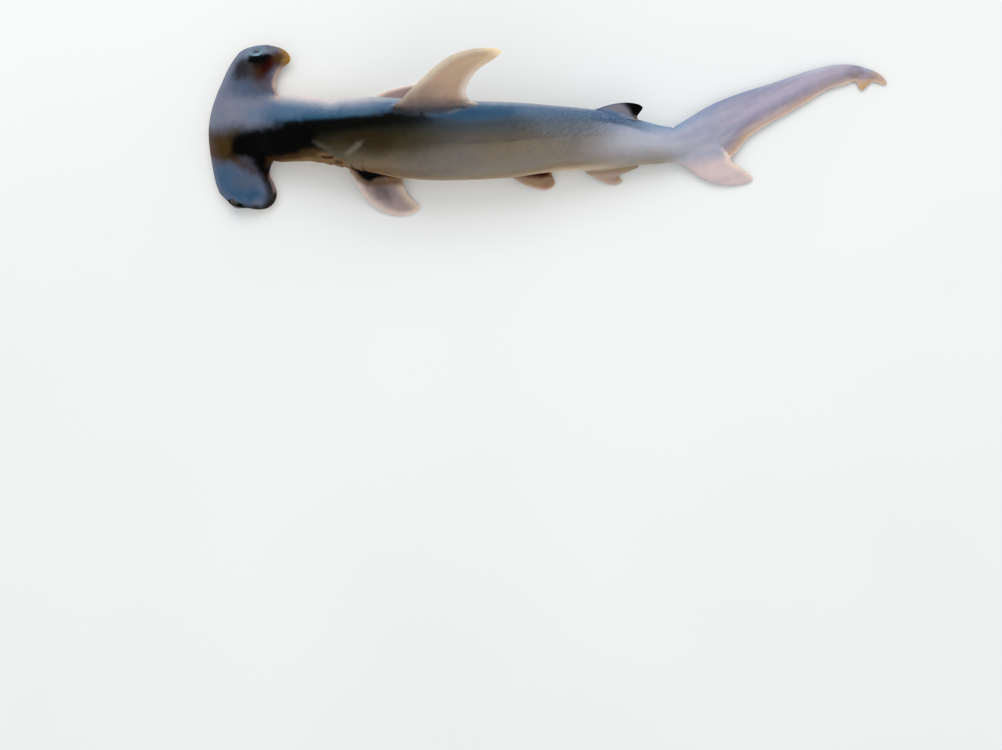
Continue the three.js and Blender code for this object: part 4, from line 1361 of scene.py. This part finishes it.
def shark_finish():
    """Moist skin: dark slate on the back, tan to cream below, pale thin fins."""
    finish = Finish("shark_skin")
    flank, fin, thin = [finish.attribute(name) for name in ("flank", "fin", "fin_thin")]
    x = finish.add("ShaderNodeSeparateXYZ", values={"Vector": finish.place()}, output="X")
    mottle = finish.noise(42, 4, 0.6)
    shade = flank + (mottle - 0.5) * 0.07
    front = finish.ramp(shade, [
        (0.0, (2, 2, 2)), (0.27, (4, 4, 3)), (0.34, (26, 18, 8)), (0.4, (58, 41, 18)), (0.47, (108, 82, 46)),
        (0.6, (188, 160, 126)), (1.0, (218, 202, 186)),
    ])
    shoulder = finish.ramp(shade, [
        (0.0, (2, 3, 3)), (0.08, (5, 7, 6)), (0.14, (25, 28, 19)), (0.2, (46, 44, 30)), (0.27, (54, 47, 28)),
        (0.34, (67, 59, 44)), (0.42, (94, 83, 68)), (0.5, (116, 100, 79)), (0.63, (104, 76, 44)),
        (0.73, (196, 169, 140)), (1.0, (222, 206, 190)),
    ])
    # The blue of the back in the middle and rear ramps is partly the window's reflection painted into the
    # colour, where the rolled body turns its back towards the window
    middle = finish.ramp(shade, [
        (0.0, (48, 76, 102)), (0.1, (62, 82, 102)), (0.17, (62, 70, 78)), (0.23, (76, 77, 77)),
        (0.32, (94, 87, 76)), (0.38, (116, 105, 90)), (0.5, (125, 115, 103)), (0.6, (132, 124, 114)),
        (0.68, (136, 119, 96)), (0.8, (198, 177, 152)), (1.0, (224, 208, 192)),
    ])
    rear = finish.ramp(shade, [
        (0.0, (122, 148, 176)), (0.15, (122, 148, 176)), (0.26, (150, 161, 184)), (0.38, (168, 172, 187)),
        (0.5, (172, 174, 185)), (0.66, (152, 148, 150)), (0.8, (148, 139, 130)), (1.0, (198, 181, 162)),
    ])
    colour = finish.mix(x.step(*SHOULDER_START), front, shoulder)
    colour = finish.mix(x.step(*MIDDLE_START), colour, middle)
    colour = finish.mix(x.step(*REAR_START), colour, rear)
    colour = finish.mix(finish.attribute("painted"), colour, finish.attribute("paint", "Color"))

    blotch = finish.noise(150, 5, 0.65)
    dapple = finish.ramp(blotch, [(0.3, (176, 178, 184)), (0.7, (200, 197, 192))])
    colour = finish.mix(0.8, colour, dapple, "SOFT_LIGHT")
    bare = 1 - fin
    # Fine creases on the neck: a bump, and painted shade that darkens their colour
    crease = finish.streaks(330, 48, 7).step(0.5, 0.64) * finish.attribute("crease") * bare
    colour = finish.mix(crease * 0.24, colour, tint(4, 7, 10))
    scratch = finish.streaks(640, 42, 9).step(0.48, 0.7) * x.step(-0.06, 0.05) * flank.step(0.62, 0.4) * bare
    colour = finish.mix(scratch * 0.14, colour, tint(200, 204, 216))
    colour = finish.mix(finish.attribute("lateral") * 0.3 * bare, colour, tint(52, 46, 40))
    # Painted highlight on the edges of the first gill flaps
    colour = finish.mix(finish.attribute("flap_highlight") * 0.3, colour, tint(190, 160, 134))
    colour = finish.mix(finish.attribute("slit"), colour, tint(40, 16, 14))

    # Bands of the tail fin's upper lobe, along its length
    band = finish.streaks(70, 27, 8)
    lobe = fin * x.step(*LOBE_START)
    colour = finish.mix(band.step(0.5, 0.68) * lobe * 0.3, colour, tint(120, 126, 156))
    colour = finish.mix(band.step(0.5, 0.34) * lobe * 0.3, colour, tint(196, 184, 196))

    grain = finish.noise(2600, 2, 0.6)
    folds = finish.noise(420, 4, 0.6, stretch=(1.0, 0.45, 1.0))
    rays = finish.add("ShaderNodeMath", {"operation": "SINE"}, {0: finish.attribute("fin_ray") * RAY_TURN})
    normal = finish.bump(grain, 0.25, 0.0002)
    normal = finish.bump(folds * (1 - fin), 0.3, 0.0005, normal)
    normal = finish.bump(crease, -0.5, 0.0003, normal)
    normal = finish.bump(rays * thin, 0.3, 0.00015, normal)
    wet = finish.noise(60, 3, 0.5)
    return finish.surface(
        base_color=colour,
        roughness=0.36 + wet * 0.2,
        normal=normal,
        specular_ior_level=0.03,
        subsurface_weight=0.12,
        subsurface_scale=0.002,
    )


# Distance from the pupil's middle to the rim of the iris
IRIS_RADIUS = 5.4


def eye_finish():
    """Dark pupil in a blue-grey iris, under a wet clear surface."""
    finish = Finish("shark_eye")
    out = finish.attribute("gaze")
    streaks = finish.noise(900, 3, 0.6)
    iris = finish.ramp(out / IRIS_RADIUS + (streaks - 0.5) * 0.06, [
        (0.0, (6, 10, 16)), (0.28, (12, 22, 34)), (0.5, (66, 98, 130)), (0.72, (104, 136, 160)),
        (0.88, (122, 144, 156)), (0.95, (84, 100, 108)), (1.0, (14, 16, 18)),
    ])
    return finish.surface(base_color=iris, roughness=0.12, coat_weight=0.4, coat_roughness=0.03)


skin.data.materials.clear()
skin.data.materials.append(shark_finish())
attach(skin, "root")
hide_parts(*[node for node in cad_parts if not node.startswith("eye")])

# The upper part of the left eye lies in the shade of its lid
IRIS_SHADE = {"left": 3.6, "right": 0}
eye_material = eye_finish()
for side in SIDES:
    eye = eye_ball(f"eye_of_{side}_wing", side, (EYE_RADIUS, EYE_RADIUS, EYE_RADIUS * EYE_FLAT), 0, 64)
    ball = to_shark(points_of(eye.data))
    ahead, aside = eye_polar(ball, side)
    aside += IRIS_SHADE[side] * smoothstep(0.5, 3, ball[:, 2] - eye_centre(side).z)
    store("gaze", np.where(ahead > 0, aside, EYE_RADIUS), eye.data)
    eye.data.polygons.foreach_set("use_smooth", [True] * len(eye.data.polygons))
    eye.data.materials.append(eye_material)
    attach(eye, "root")
    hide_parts(f"eye_{side}")

for helper in [body, hammer, *mounds, *lids, *fins.values(), *sockets]:
    bpy.data.objects.remove(helper)


def floor_finish():
    """Pale matt floor with faint clouds."""
    finish = Finish("pale_floor")
    cloud = finish.noise(3, 2, 0.5)
    colour = finish.ramp(cloud, [(0.3, (235, 237, 237)), (0.7, (240, 242, 242))])
    return finish.surface(base_color=colour, roughness=0.9)


FLOOR_HALF = 2.5
form = bmesh.new()
bmesh.ops.create_grid(form, x_segments=8, y_segments=8, size=FLOOR_HALF)
bmesh.ops.translate(form, vec=(0, 0, -FLOOR_GAP), verts=form.verts)
floor = made_object("floor", form)
floor.data.materials.append(floor_finish())


def area_light(name, place, target, size, power, colour):
    """A window of light at a place, turned to its target."""
    light = bpy.data.lights.new(name, "AREA")
    light.shape = "RECTANGLE"
    light.size, light.size_y = size
    light.energy = power
    light.color = colour
    lamp = bpy.data.objects.new(name, light)
    lamp.location = place
    lamp.rotation_euler = (Vector(target) - Vector(place)).to_track_quat("-Z", "Y").to_euler()
    bpy.context.scene.collection.objects.link(lamp)


area_light(
    "window", place=(-0.1, 1.15, 1.4), target=(0, 0, 0), size=(1.8, 1.1), power=11, colour=(1.0, 0.99, 0.98)
)
world = bpy.data.worlds.new("studio")
world.use_nodes = True
sky = world.node_tree.nodes["Background"]
sky.inputs["Color"].default_value = (0.99, 1.0, 1.0, 1)
sky.inputs["Strength"].default_value = 0.87
bpy.context.scene.world = world

# The camera looks straight down, as over a specimen on a table
camera_data = bpy.data.cameras.new("camera")
camera_data.lens = 50
camera_data.sensor_width = 36
camera = bpy.data.objects.new("camera", camera_data)
camera.location = to_model(np.array(CAMERA))
bpy.context.scene.collection.objects.link(camera)
bpy.context.scene.camera = camera
bpy.context.scene.view_settings.view_transform = "Standard"
